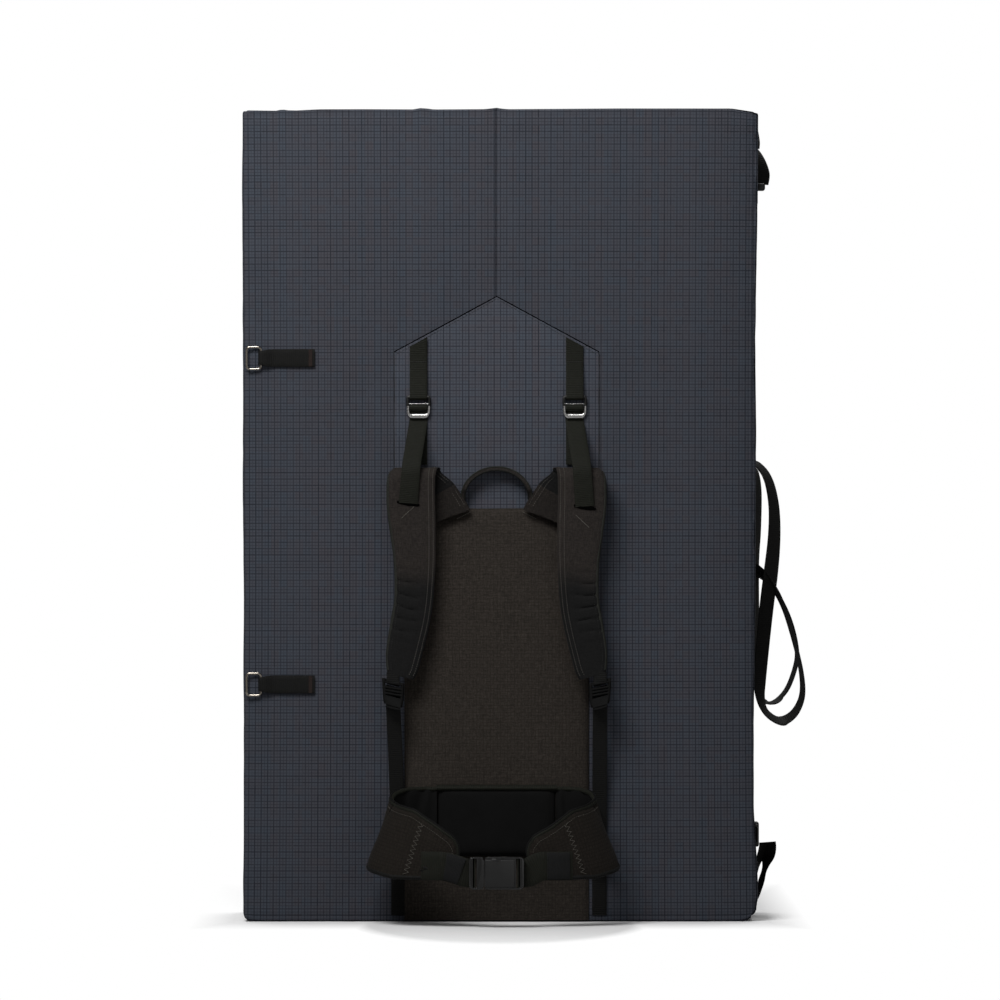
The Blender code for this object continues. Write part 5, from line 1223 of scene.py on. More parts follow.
def lifter(name, side):
    """The webbing sewn at the seam above, its metal buckle, and the webbing down to the strap."""
    body, strap = name + "_lifter_buckle", name + "_shoulder_strap"
    place = Vector((HARNESS_X + side * 100 * MM, -61.86 * MM, 672 * MM))
    turn = Matrix.Translation(place)
    around = around_bar(3 * MM, 4 * MM)
    face = face_y(0, 672 * MM) - 2 * GAP - 1.2 * MM
    back_y = face - WEB / 2 - 1.6 * MM
    front_y = back_y - WEB - 0.4 * MM
    seam = 730 * MM + 71 * MM * (1 - 100 / 131)
    upper = over_bar(turn, 3 * MM, 4 * MM, seam - 672 * MM - 4 * MM, 28 * MM, front_y - place.y, back_y - place.y)
    obj = webbing(name + "_upper_lifter", smooth(upper, 3), RIGHT, 22.5 * MM, olive_tape, "back_half",
                  (name + "_lifter_webbing",))
    slope = 71 / 131 * -side
    for vertex in obj.data.vertices:
        if vertex.co.z > seam - 8 * MM:
            vertex.co.z = seam - 4 * MM + (vertex.co.x - place.x) * slope
    for row, z in enumerate((717 * MM, 689 * MM)):
        line = [Vector((place.x + x, front_y - WEB / 2 - 0.1 * MM, z)) for x in span(-10.5 * MM, 10.5 * MM, 12)]
        thread_rows(f"{name}_lifter_stitches_{row + 1}", [(line, OUTWARD)], dark_thread, "back_half",
                    name + "_lifter_webbing", pitch=2.4 * MM, long=1.8 * MM, wide=0.9 * MM)

    half, low = 13.2 * MM, -24.4 * MM
    loop = [(-half, -11.5 * MM), (-half, -14.5 * MM), (-half, low + 6 * MM)]
    for i in range(1, 7):
        angle = math.pi / 2 * i / 6
        loop.append((-half + 6 * MM * (1 - math.cos(angle)), low + 6 * MM * (1 - math.sin(angle))))
    loop += [(0, low), *[(-x, z) for x, z in reversed(loop)]]
    ring = run_of(body + "_bright_loop", smooth([place + Vector((x, -0.3 * MM, z)) for x, z in loop], 3),
                  Vector((0, 1, 0)), lambda t: [
        (math.cos(k * math.pi / 8) * 2.3 * MM,
         math.sin(k * math.pi / 8) * (2.0 * MM + 1.5 * MM * math.exp(-((t - 0.5) / 0.2) ** 4))) for k in range(16)])
    finish_piece(ring, bright_steel, body, (body,), 60)
    half += 0.5 * MM
    # painted shade: the upper frame and top bar in dark steel and the middle bar in black stand in for shade on the
    # same metal as the bright lower loop
    arch = [(-half, -13 * MM), (-half, -2 * MM), (-half + 1.5 * MM, 0.6 * MM), (-half + 4 * MM, 1.6 * MM), (0, 1.7 * MM)]
    arch += [(-x, z) for x, z in reversed(arch[:-1])]
    ring = run_of(body + "_shaded_frame", smooth([place + Vector((x, 0, z)) for x, z in arch], 3), Vector((0, 1, 0)),
                  lambda t: [(math.cos(k * math.pi / 6) * (1.25 + 0.55 * min(1, abs(t - 0.5) / 0.3) ** 4) * MM,
                              math.sin(k * math.pi / 6) * (1.3 + 0.6 * min(1, abs(t - 0.5) / 0.3) ** 4) * MM)
                             for k in range(12)])
    finish_piece(ring, dark_steel, body, (), 60, body)
    for label, z, size, look in (("top", -0.2 * MM, 1.9 * MM, dark_steel), ("middle", -13.4 * MM, 1.4 * MM, shaded_bar_black),
                                 ("thin", -8.8 * MM, 0.5 * MM, bright_steel)):
        y = -3.4 * MM if label == "thin" else 0
        beads(f"{body}_{label}_bar", [place + Vector((x, y, z)) for x in span(-12.6 * MM, 12.6 * MM, 6)], size, look,
              body, body, sides=12)

    path = [place + Vector((0, y, z)) for y, z in through_buckle(3 * MM, 4 * MM, 9.5 * MM, -31 * MM, 73 * MM)]
    front = STRAP_FRONT_Y - STRAP_THICK / 2 - GAP - WEB / 2
    end = Vector((HARNESS_X + side * 112.5 * MM, front - 0.3 * MM, 536 * MM if side < 0 else 532 * MM))
    fold = Vector((HARNESS_X + side * 108.5 * MM, front - WEB, STRAP_TOP + 8 * MM))
    lower = [end, end.lerp(fold, 0.3) - Vector((0, 1.2 * MM, 0)), end.lerp(fold, 0.55) - Vector((0, 1.6 * MM, 0)), fold,
             fold.lerp(path[0], 0.5)]
    for place_down, ahead in ((-3, 0.2), (-2, 1.6), (-1, 3.4)):
        path[place_down].y -= ahead * MM
    obj = webbing(name + "_lower_lifter", smooth(lower + path, 4), RIGHT, lambda t: 24.5 * MM - 2.2 * MM * min(1, t * 2.2),
                  olive_tape, None, (name + "_lifter_strap",))
    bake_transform(obj)


for name, side in (("left", -1), ("right", 1)):
    shoulder_straps(name, side)
    lock_turn = ladder_lock(name, side)
    adjusting_webbing(name, side, lock_turn)
    lifter(name, side)


# Haul handle
def haul_handle():
    """An arch of folded cloth between the straps, bound along its edges."""
    half, leg, rise = 43 * MM, 13.25 * MM, 53 * MM - 13.25 * MM - 3 * MM
    base = Vector((HARNESS_X, -66.8 * MM, 530.3 * MM))
    path = [base + Vector((-half - 5 * MM, 0, 1 * MM)), base + Vector((-half - 1 * MM, 0, leg * 0.5))]
    for i in range(41):
        angle = math.pi * (1 - i / 40)
        path.append(base + Vector((half * math.cos(angle), 0, leg + rise * math.sin(angle))))
    path += [base + Vector((half + 1 * MM, 0, leg * 0.5)), base + Vector((half + 5 * MM, 0, 1 * MM))]
    path = smooth(path, 2)
    low = [max(0, 1 - (p.z - base.z) / (26 * MM)) for p in path]
    for point, share in zip(path, low):
        point.y += 6.6 * MM * share ** 0.7
    depth = Vector((0, 1, 0))
    body = "haul_handle"
    obj = run_of("haul_handle_core", path, depth, lambda t: cushion_ring(
        20 * MM - 11 * MM * width_at(low, t) ** 0.7, 6.2 * MM, 12, edge=0.7, top=lambda a: 0.3 * MM * noise.noise(Vector((a * 90, 2, t * 24)))))
    finish_piece(obj, strap_cloth, None, (body,), 50)
    pieces = [obj]
    at, out_at = laid(path, depth)
    ends = span(0, 1, 70)
    for label, across, out, size, look in (("outer_piping", -9.6 * MM, 2.0 * MM, 1.25 * MM, edge_tape),
                                           ("inner_piping", -9.8 * MM, -2.0 * MM, 1.1 * MM, pale_edge),
                                           ("back_piping", 9.4 * MM, 0, 2.2 * MM, edge_tape)):
        pieces.append(beads("haul_handle_" + label, [at(t, across * (1 - 0.55 * width_at(low, t) ** 0.7), out) for t in ends],
                            size, look, None, body))
    for piece in pieces:
        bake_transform(piece)


haul_handle()

# Hip belt
LUMBAR_BACK_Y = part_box("lumbar_pad")[1].y
LUMBAR_HALF = 76 * MM
LUMBAR_Z = 129 * MM
WING_SHARES = (
    (0.535, 0.00), (0.66, 0.0), (0.80, 0.05), (0.92, 0.16), (0.99, 0.32),
    (0.985, 0.52), (0.90, 0.70), (0.76, 0.84), (0.60, 0.92), (0.395, 0.955),
)
WING_ENDS = {-1: (146 * MM, 0.47), 1: (137 * MM, 0.42)}
WING_AT = (0, 0.35, 0.5, 0.75, 0.889, 0.97, 0.99, 1.0)
WING_TALL = (86, 88, 91, 89, 71, 61, 53, 40)
WING_RAISED = (0, 0, -1, 6.5, 8, 9.5, 7, 2)


def lumbar():
    """The belt's smooth middle pad, with a piped upper edge."""
    xs = span(-LUMBAR_HALF, LUMBAR_HALF, 56)
    zs = span(-44 * MM, 44 * MM, 34)
    rows = []
    for z in zs:
        line = []
        for x in xs:
            u, v = abs(x) / LUMBAR_HALF, abs(z) / (44 * MM)
            full = (1 - u ** 14) * (1 - v ** 10)
            y = LUMBAR_BACK_Y - 3.5 * MM - 8.5 * MM * full ** 0.6
            y += 0.9 * MM * math.exp(-((abs(x) - 70 * MM) / (1.1 * MM)) ** 2)
            y += 0.7 * MM * ripple(x, 9.0, z, 0.07)
            line.append(Vector((HARNESS_X + x, y, LUMBAR_Z + z)))
        rows.append(line)
    obj = sheet_of("lumbar_face", rows)
    alone(obj)
    bpy.ops.object.mode_set(mode="EDIT")
    bpy.ops.mesh.select_all(action="SELECT")
    bpy.ops.mesh.extrude_region_move(TRANSFORM_OT_translate={"value": (0, 3.0 * MM, 0)})
    bpy.ops.transform.resize(value=(1, 0, 1), center_override=(HARNESS_X, LUMBAR_BACK_Y, LUMBAR_Z))
    bpy.ops.mesh.select_all(action="SELECT")
    bpy.ops.mesh.normals_make_consistent(inside=False)
    bpy.ops.object.mode_set(mode="OBJECT")
    finish_piece(obj, smooth_black, "back_half", ("lumbar_pad",), 50)
    top = [Vector((HARNESS_X + x, LUMBAR_BACK_Y - 6.2 * MM, LUMBAR_Z + 43 * MM)) for x in span(-LUMBAR_HALF - 1 * MM, LUMBAR_HALF + 1 * MM, 40)]
    binding = run_of("lumbar_upper_binding", top, UP, lambda t: [
        (math.cos(k * math.pi / 8) * 4.0 * MM, math.sin(k * math.pi / 8) * 6.6 * MM) for k in range(16)])
    finish_piece(binding, olive_tape, "back_half", (), 60, "lumbar_pad")


def wing_line(side, steps, raised=True):
    start = LUMBAR_BACK_Y - 6 * MM
    reach_out, last = WING_ENDS[side]
    coarse = [Vector((HARNESS_X + side * reach * reach_out, start - forward * 112 * MM, 0))
              for reach, forward in (*WING_SHARES[:-1], (last, WING_SHARES[-1][1]))]
    curve = smooth(coarse, steps)
    curve[0].x = HARNESS_X + side * (LUMBAR_HALF + GAP)
    count = len(curve) - 1
    ups, heights = [], []
    for n, point in enumerate(curve):
        share = max(0, n / count - 0.15) / 0.85
        point.z = LUMBAR_Z - 50 * MM * share ** 1.4
    for n, along in enumerate(headings(curve)):
        outward = along.cross(UP).normalized() * -side
        flare = math.radians(22) * abs(outward.x)
        ups.append((UP * math.cos(flare) - outward * math.sin(flare)) * side)
        heights.append(float(np.interp(n / count, WING_AT, WING_TALL)) * MM)
    if raised:
        for n, point in enumerate(curve):
            point.z += float(np.interp(n / count, WING_AT, WING_RAISED)) * MM
    return curve, ups, heights


ZIGZAG_SHARE = 0.815


def belt_wing(name, side):
    """A padded wing of the belt: brown outside, smooth inside, bound along both edges."""
    curve, ups, heights = wing_line(side, 8)
    columns = 22
    node = name + "_belt_wing"
    at, out_at = laid(curve, ups)

    def folds(t, a):
        return 1.5 * MM * math.sin(t * 62 + 2 * noise.noise(Vector((a * 20, side, t * 4)))) * max(0, 1 - t / 0.55)

    obj = run_of(node + "_padding", curve, ups, lambda t: cushion_ring(
        width_at(heights, t), 8 * MM, columns,
        top=lambda a: 0.6 * MM * noise.noise(Vector((a * 28, side * 3, t * 9))),
        under=lambda a: folds(t, a)))
    two_faced(obj, columns, wing_cloth, smooth_black)
    finish_piece(obj, None, "back_half", (node,), 50)
    shares = span(0.0, 1.0, 110)
    for label, hand, look in (("upper", 1, olive_tape), ("lower", -1, black_tape)):
        edge = [at(t, hand * side * (width_at(heights, t) / 2 - 1.4 * MM), 0) for t in shares]
        tape = run_of(f"{node}_{label}_binding", edge, [at(t, side, 0) - at(t, 0, 0) for t in shares], lambda t: [
            (math.cos(k * math.pi / 8) * 3.1 * MM, math.sin(k * math.pi / 8) * 3.4 * MM) for k in range(16)])
        finish_piece(tape, look, "back_half", (), 60, node)
    piping = [at(t, side * (width_at(heights, t) / 2 + 1.0 * MM), 1.6 * MM) for t in span(0.25, 1.0, 80)]
    beads(node + "_piping", piping, 1.5 * MM, lock_black, "back_half", node)
    line = [(at(t, side * (width_at(heights, t) / 2 - 9 * MM), 4.1 * MM), out_at(t)) for t in span(0.42, 0.99, 80)]
    thread_rows(node + "_edge_stitches", [([p for p, o in line], [o for p, o in line])], pale_thread, "back_half", node,
                pitch=3.0 * MM, long=2.1 * MM, wide=0.7 * MM)
    zigzag, outs = [], []
    for i, s in enumerate(span(-0.44, 0.40, 22)):
        t = ZIGZAG_SHARE + (0.014 if i % 2 else -0.014)
        zigzag.append(at(t, side * s * width_at(heights, t), 4.3 * MM))
        outs.append(out_at(t))
    thread_rows(node + "_zigzag", [(zigzag, outs)], pale_thread, "back_half", node, pitch=1.6 * MM, long=1.7 * MM,
                wide=0.8 * MM)


BUCKLE_Y = -193 * MM
BUCKLE_Z = 70 * MM
BUCKLE_LEFT = HARNESS_X - 34.5 * MM
BUCKLE_RIGHT = HARNESS_X + 34.5 * MM


def belt_webbing(name, side, bar_x, bar, slot):
    """The belt's webbing, from its wing to its end of the buckle, with the sewn doubled part on it."""
    curve, ups, heights = wing_line(side, 8, False)
    count = len(curve) - 1
    path, across = [], []
    for n, (point, along) in enumerate(zip(curve, headings(curve))):
        if n / count >= 0.5 and abs(point.x - HARNESS_X) < 96 * MM:
            path.append(point + along.cross(UP).normalized() * -side * 6.1 * MM)
            path[-1].z = min(point.z, 78.5 * MM)
            across.append((ups[n] * side).lerp(UP, 0.6))
    behind = Vector((bar_x, BUCKLE_Y + 6 * MM + GAP + WEB / 2, BUCKLE_Z))
    inward = Vector((-side, 0, 0))
    in_slot = behind + inward * (bar + slot / 2)
    last, before = path[-1], behind - inward * bar
    path += [last.lerp(before, 0.3) + UP * 1.0 * MM, last.lerp(before, 0.6) + UP * 0.8 * MM, before,
             behind + inward * bar, in_slot + Vector((0, -WEB, 0)), in_slot + Vector((0, -12 * MM, 0))]
    across += [across[-1].lerp(UP, share) for share in (0.5, 0.85)] + [UP] * 4
    full = smooth(path, 3)
    spread = [v.normalized() for v in smooth(across, 3)]
    obj = webbing(name + "_belt_strap", full, spread, 36 * MM, olive_tape, None if side < 0 else "back_half",
                  (name + "_belt_webbing",))
    pieces = [obj]
    at, out_at = laid(full, spread)
    limits = ((-70.5, -48.5, "doubled"),) if side < 0 else ((58.5, 87.0, "doubled"),)
    hand = WEB + 0.25 * MM if out_at(0.3).y < 0 else -WEB - 0.25 * MM
    for low_x, high_x, label in limits:
        inside = [t for t in span(0, 0.8, 160) if low_x * MM <= at(t, 0, 0).x <= high_x * MM]
        low, high = inside[0], inside[-1]
        line = [at(t, 0, hand) for t in span(low, high, 18)]
        ups_here = [(at(t, 1, 0) - at(t, 0, 0)) for t in span(low, high, 18)]
        piece = webbing(f"{name}_belt_{label}", line, ups_here, 34 * MM, grey_tape, None if side < 0 else "back_half", (),
                        slot=name + "_belt_webbing")
        pieces.append(piece)
    if side < 0:
        for piece in pieces:
            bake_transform(piece)


# painted reflection: thin steel beads along the buckle's edges stand in for the light lines its glossy edges reflect
def rim(name, points, body, slot, radius=0.34 * MM, look=None):
    beads(name, points, radius, look or rim_reflection_steel, body, slot, sides=8)


def belt_buckle():
    """The side release buckle's glossy socket and plug, with its sprung prongs between them."""
    copy_of("buckle_socket", gloss_black, "back_half", 1.3 * MM, 3)
    copy_of("buckle_plug", gloss_black, "buckle_plug", 1.2 * MM, 3)
    for level in ("upper", "lower"):
        copy_of(level + "_prong", satin_black, level + "_prong", 0.6 * MM, 2)
    front = BUCKLE_Y - 6.0 * MM
    socket_left = HARNESS_X + 34.5 * MM - 50 * MM
    middle = BUCKLE_Z

    def swell(p):
        u = (p.x - (socket_left + 19.5 * MM)) / (20 * MM)
        v = (p.z - middle) / (16 * MM)
        return Vector((p.x, p.y - 0.9 * MM * max(0, 1 - u * u) * max(0, 1 - v * v) - 0.6 * MM + front, p.z))

    xs = span(socket_left + 1.2 * MM, socket_left + 38 * MM, 12)
    zs = span(middle - 17.5 * MM, middle + 17 * MM, 12)
    panel = plate("buckle_socket_plate", xs, zs, [], 1.6 * MM, 0.5 * MM, swell)
    finish_piece(panel, satin_black, "back_half", (), 40, "buckle_socket")
    bar = plate("buckle_socket_button", span(socket_left + 9 * MM, socket_left + 21 * MM, 4),
                span(middle + 14.6 * MM, middle + 18.4 * MM, 2), [], 2.4 * MM, 0.9 * MM,
                lambda p: Vector((p.x, p.y + front - 0.4 * MM, p.z)))
    finish_piece(bar, gloss_black, "back_half", (), 40, "buckle_socket")
    tall = 20.5 * MM - 0.9 * MM

    def c_line(inner_x, outer_x):
        hand = 1 if outer_x > inner_x else -1
        line = [(inner_x, middle + tall), (outer_x - hand * 5 * MM, middle + tall)]
        for i in range(1, 6):
            angle = math.pi / 2 * i / 6
            line.append((outer_x - hand * 5 * MM * (1 - math.sin(angle)), middle + tall - 5 * MM * (1 - math.cos(angle))))
        line.append((outer_x, middle + tall - 5 * MM))
        line += [(x, 2 * middle - z) for x, z in reversed(line)]
        return [Vector((x, front + 0.3 * MM, z)) for x, z in line]

    # the rims are painted reflection: steel beads for the light lines along the glossy edges
    rim("buckle_socket_rim", c_line(socket_left + 1 * MM, BUCKLE_RIGHT - 0.9 * MM), "back_half", "buckle_socket")
    rim("buckle_plug_rim", c_line(socket_left - 1.3 * MM, BUCKLE_LEFT + 0.9 * MM), "buckle_plug", "buckle_plug")


lumbar()
for name, side in (("left", -1), ("right", 1)):
    belt_wing(name, side)
belt_webbing("left", -1, BUCKLE_LEFT, 4.5 * MM, 5 * MM)
belt_webbing("right", 1, BUCKLE_RIGHT, 5 * MM, 5 * MM)
belt_buckle()


# Rings and their tabs
def ring_and_tab(name, height):
    """A metal ring lying on the cover, and the webbing tab that holds it."""
    half_l, half_h, corner = 9.2 * MM, 14.1 * MM, 4.4 * MM
    bar_x = -316 * MM + half_l
    rounding = 1.8 * MM + 0.4 * MM + WEB / 2
    under = face_y(bar_x + 2 * rounding, height) - GAP - WEB / 2
    ring_y = under - rounding
    centre = Vector((-316 * MM, ring_y, height))
    path = []
    for quarter, (sx, sz) in enumerate(((1, 1), (-1, 1), (-1, -1), (1, -1))):
        hub = centre + Vector((sx * (half_l - corner), 0, sz * (half_h - corner)))
        for i in range(9):
            angle = math.pi / 2 * (quarter + i / 8)
            path.append(hub + corner * Vector((math.cos(angle), 0, math.sin(angle))))
    beads(name + "_ring_wire", path, 1.6 * MM, ring_steel, name + "_ring", None, closed=True, sides=16)
    obj = bpy.data.objects[name + "_ring_wire"]
    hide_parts(name + "_ring")

    rest, apart = GAP + WEB / 2, WEB + 0.4 * MM
    folded_x = bar_x + 30 * MM
    path = [Vector((folded_x, face_y(folded_x, height) - rest, height)), Vector((bar_x + 2 * rounding, under, height))]
    for i in range(13):
        angle = math.pi * (0.5 + i / 12)
        path.append(Vector((bar_x + rounding * math.cos(angle), ring_y + rounding * math.sin(angle), height)))
    path.append(Vector((bar_x + rounding * 2, ring_y - rounding * 0.8, height)))
    for share in (0.25, 0.45, 0.7, 1.0):
        x = bar_x + 69 * MM * share
        path.append(Vector((x, face_y(x, height) - rest - apart, height)))
    line = smooth(path, 3)
    webbing(name + "_tab_webbing", line, UP,
            lambda t: 17.8 * MM + 5.2 * MM / (1 + math.exp(-(t - 0.78) * 60)), black_tape, "back_half",
            (name + "_ring_tab",))
    tack_x = bar_x + 63.5 * MM
    tack = [Vector((tack_x, face_y(tack_x, height) - rest - apart - WEB / 2 - 0.15 * MM, height + z))
            for z in span(-10.8 * MM, 10.8 * MM, 12)]
    obj = run_of(name + "_tab_tack", tack, RIGHT, lambda t: flat_ring(4.6 * MM, 0.9 * MM, 0.3 * MM))
    finish_piece(obj, tack_thread, "back_half", (), 60, name + "_ring_tab")


ring_and_tab("upper", 722 * MM)
ring_and_tab("lower", 304 * MM)

# Carry handles on the opening side: picture places along each loop, and how far it turns edge-on there
NEAR_LOOP = (
    (754.0, 462.5, 74), (759.0, 466.0, 68), (766.0, 475.0, 62), (771.0, 489.0, 56), (774.2, 511.0, 50),
    (774.0, 540.0, 42), (770.8, 573.0, 33), (767.0, 603.0, 34), (763.2, 640.0, 38), (760.0, 680.0, 46),
    (760.3, 697.0, 58), (764.5, 710.0, 70), (773.0, 718.0, 68), (783.0, 720.5, 62), (793.0, 714.5, 66),
    (800.0, 703.0, 72), (802.6, 690.0, 76), (801.2, 672.0, 79), (797.0, 652.0, 80), (791.0, 630.0, 80),
    (785.0, 611.0, 79), (778.0, 595.0, 76), (770.0, 583.0, 70), (763.0, 574.0, 66), (754.0, 566.0, 66),
)
FAR_LOOP = (
    (752.0, 469.0, 70), (755.6, 474.0, 66), (757.9, 493.0, 64), (757.5, 530.0, 66), (756.2, 560.0, 70),
    (756.4, 600.0, 72), (757.0, 650.0, 70), (758.6, 686.0, 72), (762.5, 699.0, 78), (770.0, 702.5, 80),
    (779.0, 698.5, 80), (788.0, 687.0, 79), (795.0, 668.0, 79), (797.0, 653.0, 80), (794.0, 634.0, 80),
    (788.0, 615.0, 80), (779.0, 597.0, 78), (769.0, 582.0, 72), (761.0, 575.0, 68), (752.0, 569.0, 68),
)
PIXEL = 1.2816 * MM
CAMERA_FAR = 8.5


def pictured(across, down, y):
    """The place at depth y that is seen at a picture place, counted in thousandths of its width."""
    grown = (CAMERA_FAR + y - FACE_Y) / CAMERA_FAR
    return Vector(((across - 500) * PIXEL * grown - 0.5 * PIXEL, y, 421.5 * PIXEL + (500 - down) * PIXEL * grown))


def carry_handle(half):
    """A limp webbing loop that hangs from two places on a half's side."""
    middle_y = 0 if half == "back" else FRONT_SHIFT
    depth = Vector((0, 1, 0))
    loop = NEAR_LOOP if half == "back" else FAR_LOOP
    lean = 9 * MM
    line = [pictured(x, z, middle_y + lean * math.sin(math.pi * i / (len(loop) - 1)) * (-0.5 if i < len(loop) / 2 else 1))
            for i, (x, z, turn) in enumerate(loop)]
    turns = [Vector((math.radians(turn), 0, 0)) for x, z, turn in loop]
    full = smooth(line, 5)
    turn_at = [t.x for t in smooth(turns, 5)]
    for point in full:
        point.x = max(point.x, side_x(point.z) + GAP + WEB)
    across = [way.cross(depth) * math.cos(t) + depth * math.sin(t) for way, t in zip(headings(full), turn_at)]
    node = half + "_carry_handle"
    obj = webbing(node + "_webbing", full, across, lambda t: 22.5 * MM, black_tape, None, (node,))
    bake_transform(obj)
    for label, point in (("upper", full[0]), ("lower", full[-1])):
        tack = [point + Vector((WEB, d, 0)) for d in span(-9.5 * MM, 9.5 * MM, 10)]
        piece = run_of(f"{node}_{label}_tack", tack, UP, lambda t: flat_ring(7 * MM, 2.0 * MM, 0.5 * MM))
        finish_piece(piece, black_tape, half + "_half", (), 60, half + "_cover")


carry_handle("back")
carry_handle("front")


# Closure straps across the opening side
UPPER_TAIL = (
    ((752.5, 114.5, 89), (754.6, 119.0, 86), (755.7, 126.0, 81), (756.7, 134.0, 77), (757.4, 142.0, 74), (757.0, 148.5, 74)),
    ((753.0, 146.5, 82), (756.4, 152.0, 68), (759.2, 159.0, 55), (761.4, 167.0, 43), (762.7, 175.0, 36), (762.3, 184.5, 46)),
)
LOWER_TAIL = (
    ((753.0, 902.0, 84), (756.6, 897.0, 82), (759.0, 889.0, 77), (761.6, 880.0, 75), (764.0, 871.0, 79), (766.0, 863.5, 68),
     (767.6, 855.5, 40), (767.9, 848.0, 22), (767.4, 842.0, 20)),
    ((765.8, 845.0, 40), (762.8, 851.5, 56), (759.6, 858.5, 66), (757.3, 866.0, 76), (755.6, 874.0, 80), (753.0, 880.0, 84)),
)


def closure(name, height):
    upward = 1 if name == "upper" else -1
    side = side_x(height) + GAP
    depth = Vector((0, 1, 0))
    strap_low, strap_high = 65.5 * MM, 95.5 * MM
    for row, places in enumerate(UPPER_TAIL if name == "upper" else LOWER_TAIL):
        line = smooth([pictured(x, z, strap_high - 10 * MM) for x, z, turn in places], 6)
        turns = smooth([Vector((math.radians(turn), 0, 0)) for x, z, turn in places], 6)
        across = [way.cross(depth) * math.cos(t.x) + depth * math.sin(t.x) for way, t in zip(headings(line), turns)]
        for point, t in zip(line, turns):
            point.x = max(point.x, side_x(point.z) + GAP + WEB / 2 + 11.5 * MM * math.cos(t.x))
        webbing(f"{name}_closure_tail_{row + 1}", line, across, 23 * MM, black_tape, "front_half",
                (name + "_closure_tail",) if row == 0 else (), slot=name + "_closure_tail")
    middle, reach, tall = (pictured(760.2, 187.2, 80 * MM), 6 * MM, 4.6 * MM) if name == "upper" else (
        pictured(755.9, 834, 80 * MM), 3.6 * MM, 16 * MM)
    keeper = plate(name + "_closure_keeper", span(-reach, reach, 2), span(-tall, tall, 4), [], 22 * MM, 2.4 * MM,
                   lambda p: p + middle)
    finish_piece(keeper, satin_black, "front_half", (), 50, name + "_closure_strap")
    strap = [Vector((side + WEB / 2, y, height)) for y in span(strap_high, strap_low, 6)]
    webbing(name + "_closure_strap_webbing", strap, UP, 20 * MM, black_tape, "front_half", (name + "_closure_strap",))
    copy_of(name + "_closure_hook", satin_black, name + "_closure_hook", 0.5 * MM)
    copy_of(name + "_closure_bar", dark_steel, "back_half", 0.3 * MM)
    copy_of(name + "_closure_anchor", black_tape, "back_half", 0.3 * MM)


closure("upper", 936 * MM)
closure("lower", 108 * MM)


# Zips and the folded cloth at the spine
def zip_run(half):
    """A coil zip in the cover's upper end, with its slider."""
    copy_of(half + "_zip", black_tape, half + "_half", 0.2 * MM)
    copy_of(half + "_zip_slider", dark_steel, half + "_zip_slider", 0.35 * MM)
    low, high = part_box(half + "_zip")
    y = (low.y + high.y) / 2
    line = [Vector((x, y, HEIGHT - DRAW_IN * (1 - (x / HALF_WIDTH) ** 2) + 0.1 * MM)) for x in span(low.x + 1 * MM, high.x - 1 * MM, 60)]
    beads(half + "_zip_coil", line, 1.1 * MM, black_tape, half + "_half", half + "_zip")


def spine_cloth():
    axis = Vector((-329 * MM, 51.5 * MM, 0))
    radius = 0.8 * MM
    path = [axis + Vector((41 * MM, -radius, HEIGHT / 2)), axis + Vector((20 * MM, -radius, HEIGHT / 2))]
    for i in range(9):
        angle = math.pi * (0.5 + i / 8)
        path.append(axis + Vector((radius * math.cos(angle), -radius * math.sin(angle), HEIGHT / 2)))
    path += [axis + Vector((20 * MM, radius, HEIGHT / 2)), axis + Vector((41 * MM, radius, HEIGHT / 2))]
    rows = [[p + UP * z for p in path] for z in span(-506 * MM, 506 * MM, 200)]
    obj = sheet_of("spine_cloth", rows)
    alone(obj)
    bpy.ops.object.modifier_add(type="SOLIDIFY")
    obj.modifiers[-1].thickness = 0.6 * MM
    obj.modifiers[-1].offset = 0
    bpy.ops.object.modifier_apply(modifier=obj.modifiers[-1].name)
    finish_piece(obj, slate_cloth, None, ("hinge_fabric",), 50)
    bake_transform(obj)


zip_run("back")
zip_run("front")
spine_cloth()

# Camera, lights and floor
camera_data = bpy.data.cameras.new("view")
camera_data.lens = camera_data.sensor_width * CAMERA_FAR / (1000 * PIXEL)
camera = bpy.data.objects.new("view", camera_data)
camera.location = (-0.5 * PIXEL, FACE_Y - CAMERA_FAR, 421.5 * PIXEL)
camera.rotation_euler = (math.radians(90), 0, 0)
bpy.context.scene.collection.objects.link(camera)
bpy.context.scene.camera = camera


def lamp(name, place, size, power, target):
    data = bpy.data.lights.new(name, "AREA")
    data.shape = "RECTANGLE"
    data.size, data.size_y = size
    data.energy = power
    obj = bpy.data.objects.new(name, data)
    obj.location = place
    obj.rotation_euler = (Vector(target) - Vector(place)).to_track_quat("-Z", "Y").to_euler()
    bpy.context.scene.collection.objects.link(obj)
    return obj


lamp("key_softbox", (-0.75, -1.75, 2.3), (1.3, 0.9), 56, (0, 0, 0.75))
lamp("fill_softbox", (1.6, -3.4, 1.0), (1.4, 2.0), 7, (0, 0, 0.5))
lamp("top_softbox", (0.1, 1.1, 2.7), (2.8, 1.8), 55, (0, 0, 0.5))

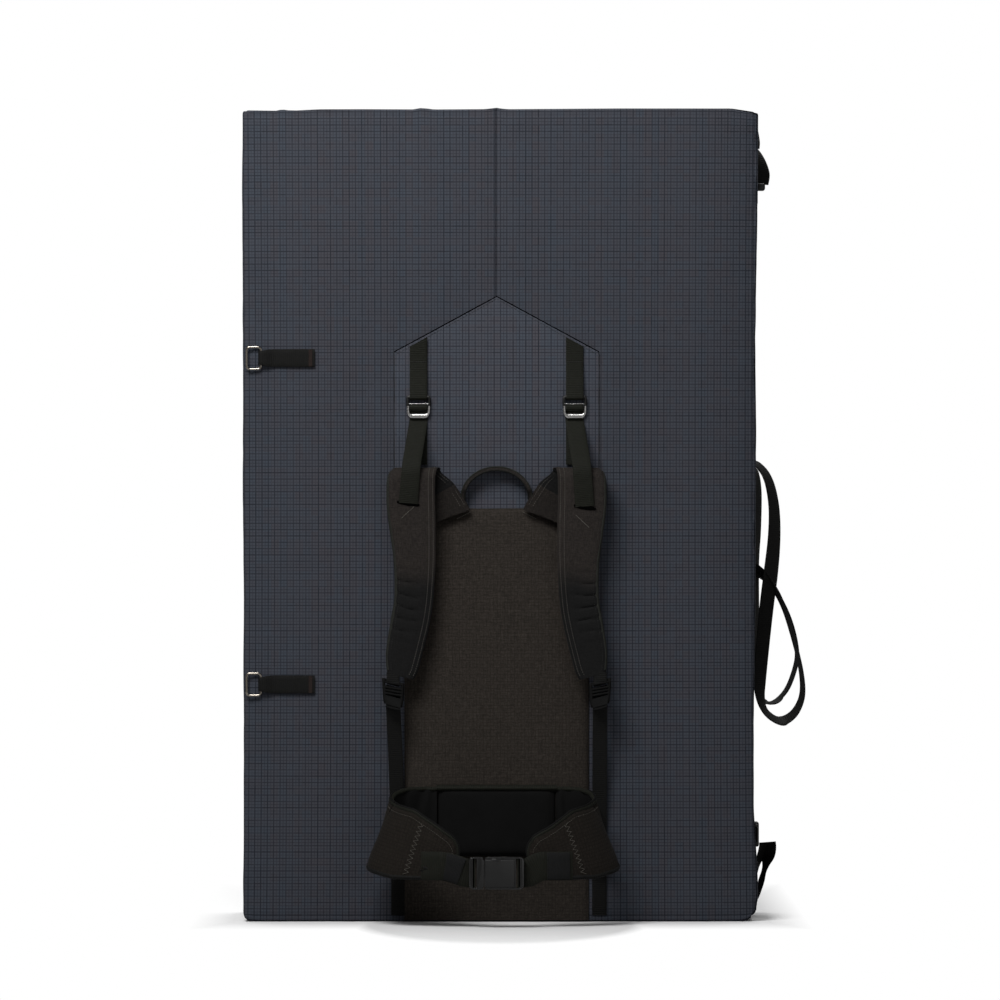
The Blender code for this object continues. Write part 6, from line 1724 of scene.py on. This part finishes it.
world = bpy.data.worlds.new("studio")
bpy.context.scene.world = world
world.use_nodes = True
links = world.node_tree.links
sky = world.node_tree.nodes["Background"]
sky.inputs["Color"].default_value = (1, 1, 1, 1)
ray = world.node_tree.nodes.new("ShaderNodeLightPath")
seen = world.node_tree.nodes.new("ShaderNodeMath")
seen.operation = "MAXIMUM"
links.new(ray.outputs["Is Camera Ray"], seen.inputs[0])
links.new(ray.outputs["Is Transmission Ray"], seen.inputs[1])
level = world.node_tree.nodes.new("ShaderNodeMapRange")
level.inputs["To Min"].default_value = 0.14
level.inputs["To Max"].default_value = 1.0
links.new(seen.outputs[0], level.inputs["Value"])
links.new(level.outputs[0], sky.inputs["Strength"])


def pale_floor():
    bpy.ops.object.select_all(action="DESELECT")
    bpy.ops.mesh.primitive_grid_add(x_subdivisions=8, y_subdivisions=8, size=14, location=(0, 0, -0.2 * MM))
    floor = bpy.context.object
    floor.name = "floor"
    mat, tree, shader, put, sums = nodes_of("pale_floor")
    place = put("ShaderNodeTexCoord").outputs["Object"]
    shader.inputs["Base Color"].default_value = (0.97, 0.97, 0.97, 1)
    shader.inputs["Roughness"].default_value = 0.9
    shader.inputs["Specular IOR Level"].default_value = 0.1
    glow = put("ShaderNodeEmission", {"Color": (1, 1, 1, 1), "Strength": 1.0})
    dull = put("ShaderNodeBsdfDiffuse", {"Color": (0.35, 0.35, 0.35, 1)})
    split = put("ShaderNodeSeparateXYZ", {0: place})
    aside = sums("DIVIDE", sums("SUBTRACT", sums("ABSOLUTE", split.outputs[0]), 0.345), 0.05)
    before = sums("DIVIDE", sums("SUBTRACT", sums("MULTIPLY", split.outputs[1], -1.0), 0.075), 0.13)
    across = sums("POWER", sums("DIVIDE", split.outputs[0], 0.19), 2.0)
    along = sums("POWER", sums("DIVIDE", sums("ADD", split.outputs[1], 0.05), 0.43), 2.0)
    bow = sums("MULTIPLY", sums("SUBTRACT", sums("ADD", across, along), 0.8), 4.0)
    before = sums("MINIMUM", before, bow)
    behind = sums("DIVIDE", sums("SUBTRACT", split.outputs[1], 0.45), 0.35)
    far = sums("MAXIMUM", sums("MAXIMUM", aside, before), behind)
    away = sums("MINIMUM", sums("MAXIMUM", far, 0.0), 1.0)
    rays = put("ShaderNodeLightPath")
    lit = put("ShaderNodeMixShader", {0: away, 1: shader.outputs[0], 2: glow.outputs[0]})
    shown = put("ShaderNodeMixShader", {0: rays.outputs["Is Camera Ray"], 1: dull.outputs[0], 2: lit.outputs[0]})
    tree.links.new(shown.outputs[0], tree.nodes["Material Output"].inputs["Surface"])
    floor.data.materials.append(mat)


pale_floor()
bpy.context.scene.view_settings.view_transform = "Standard"
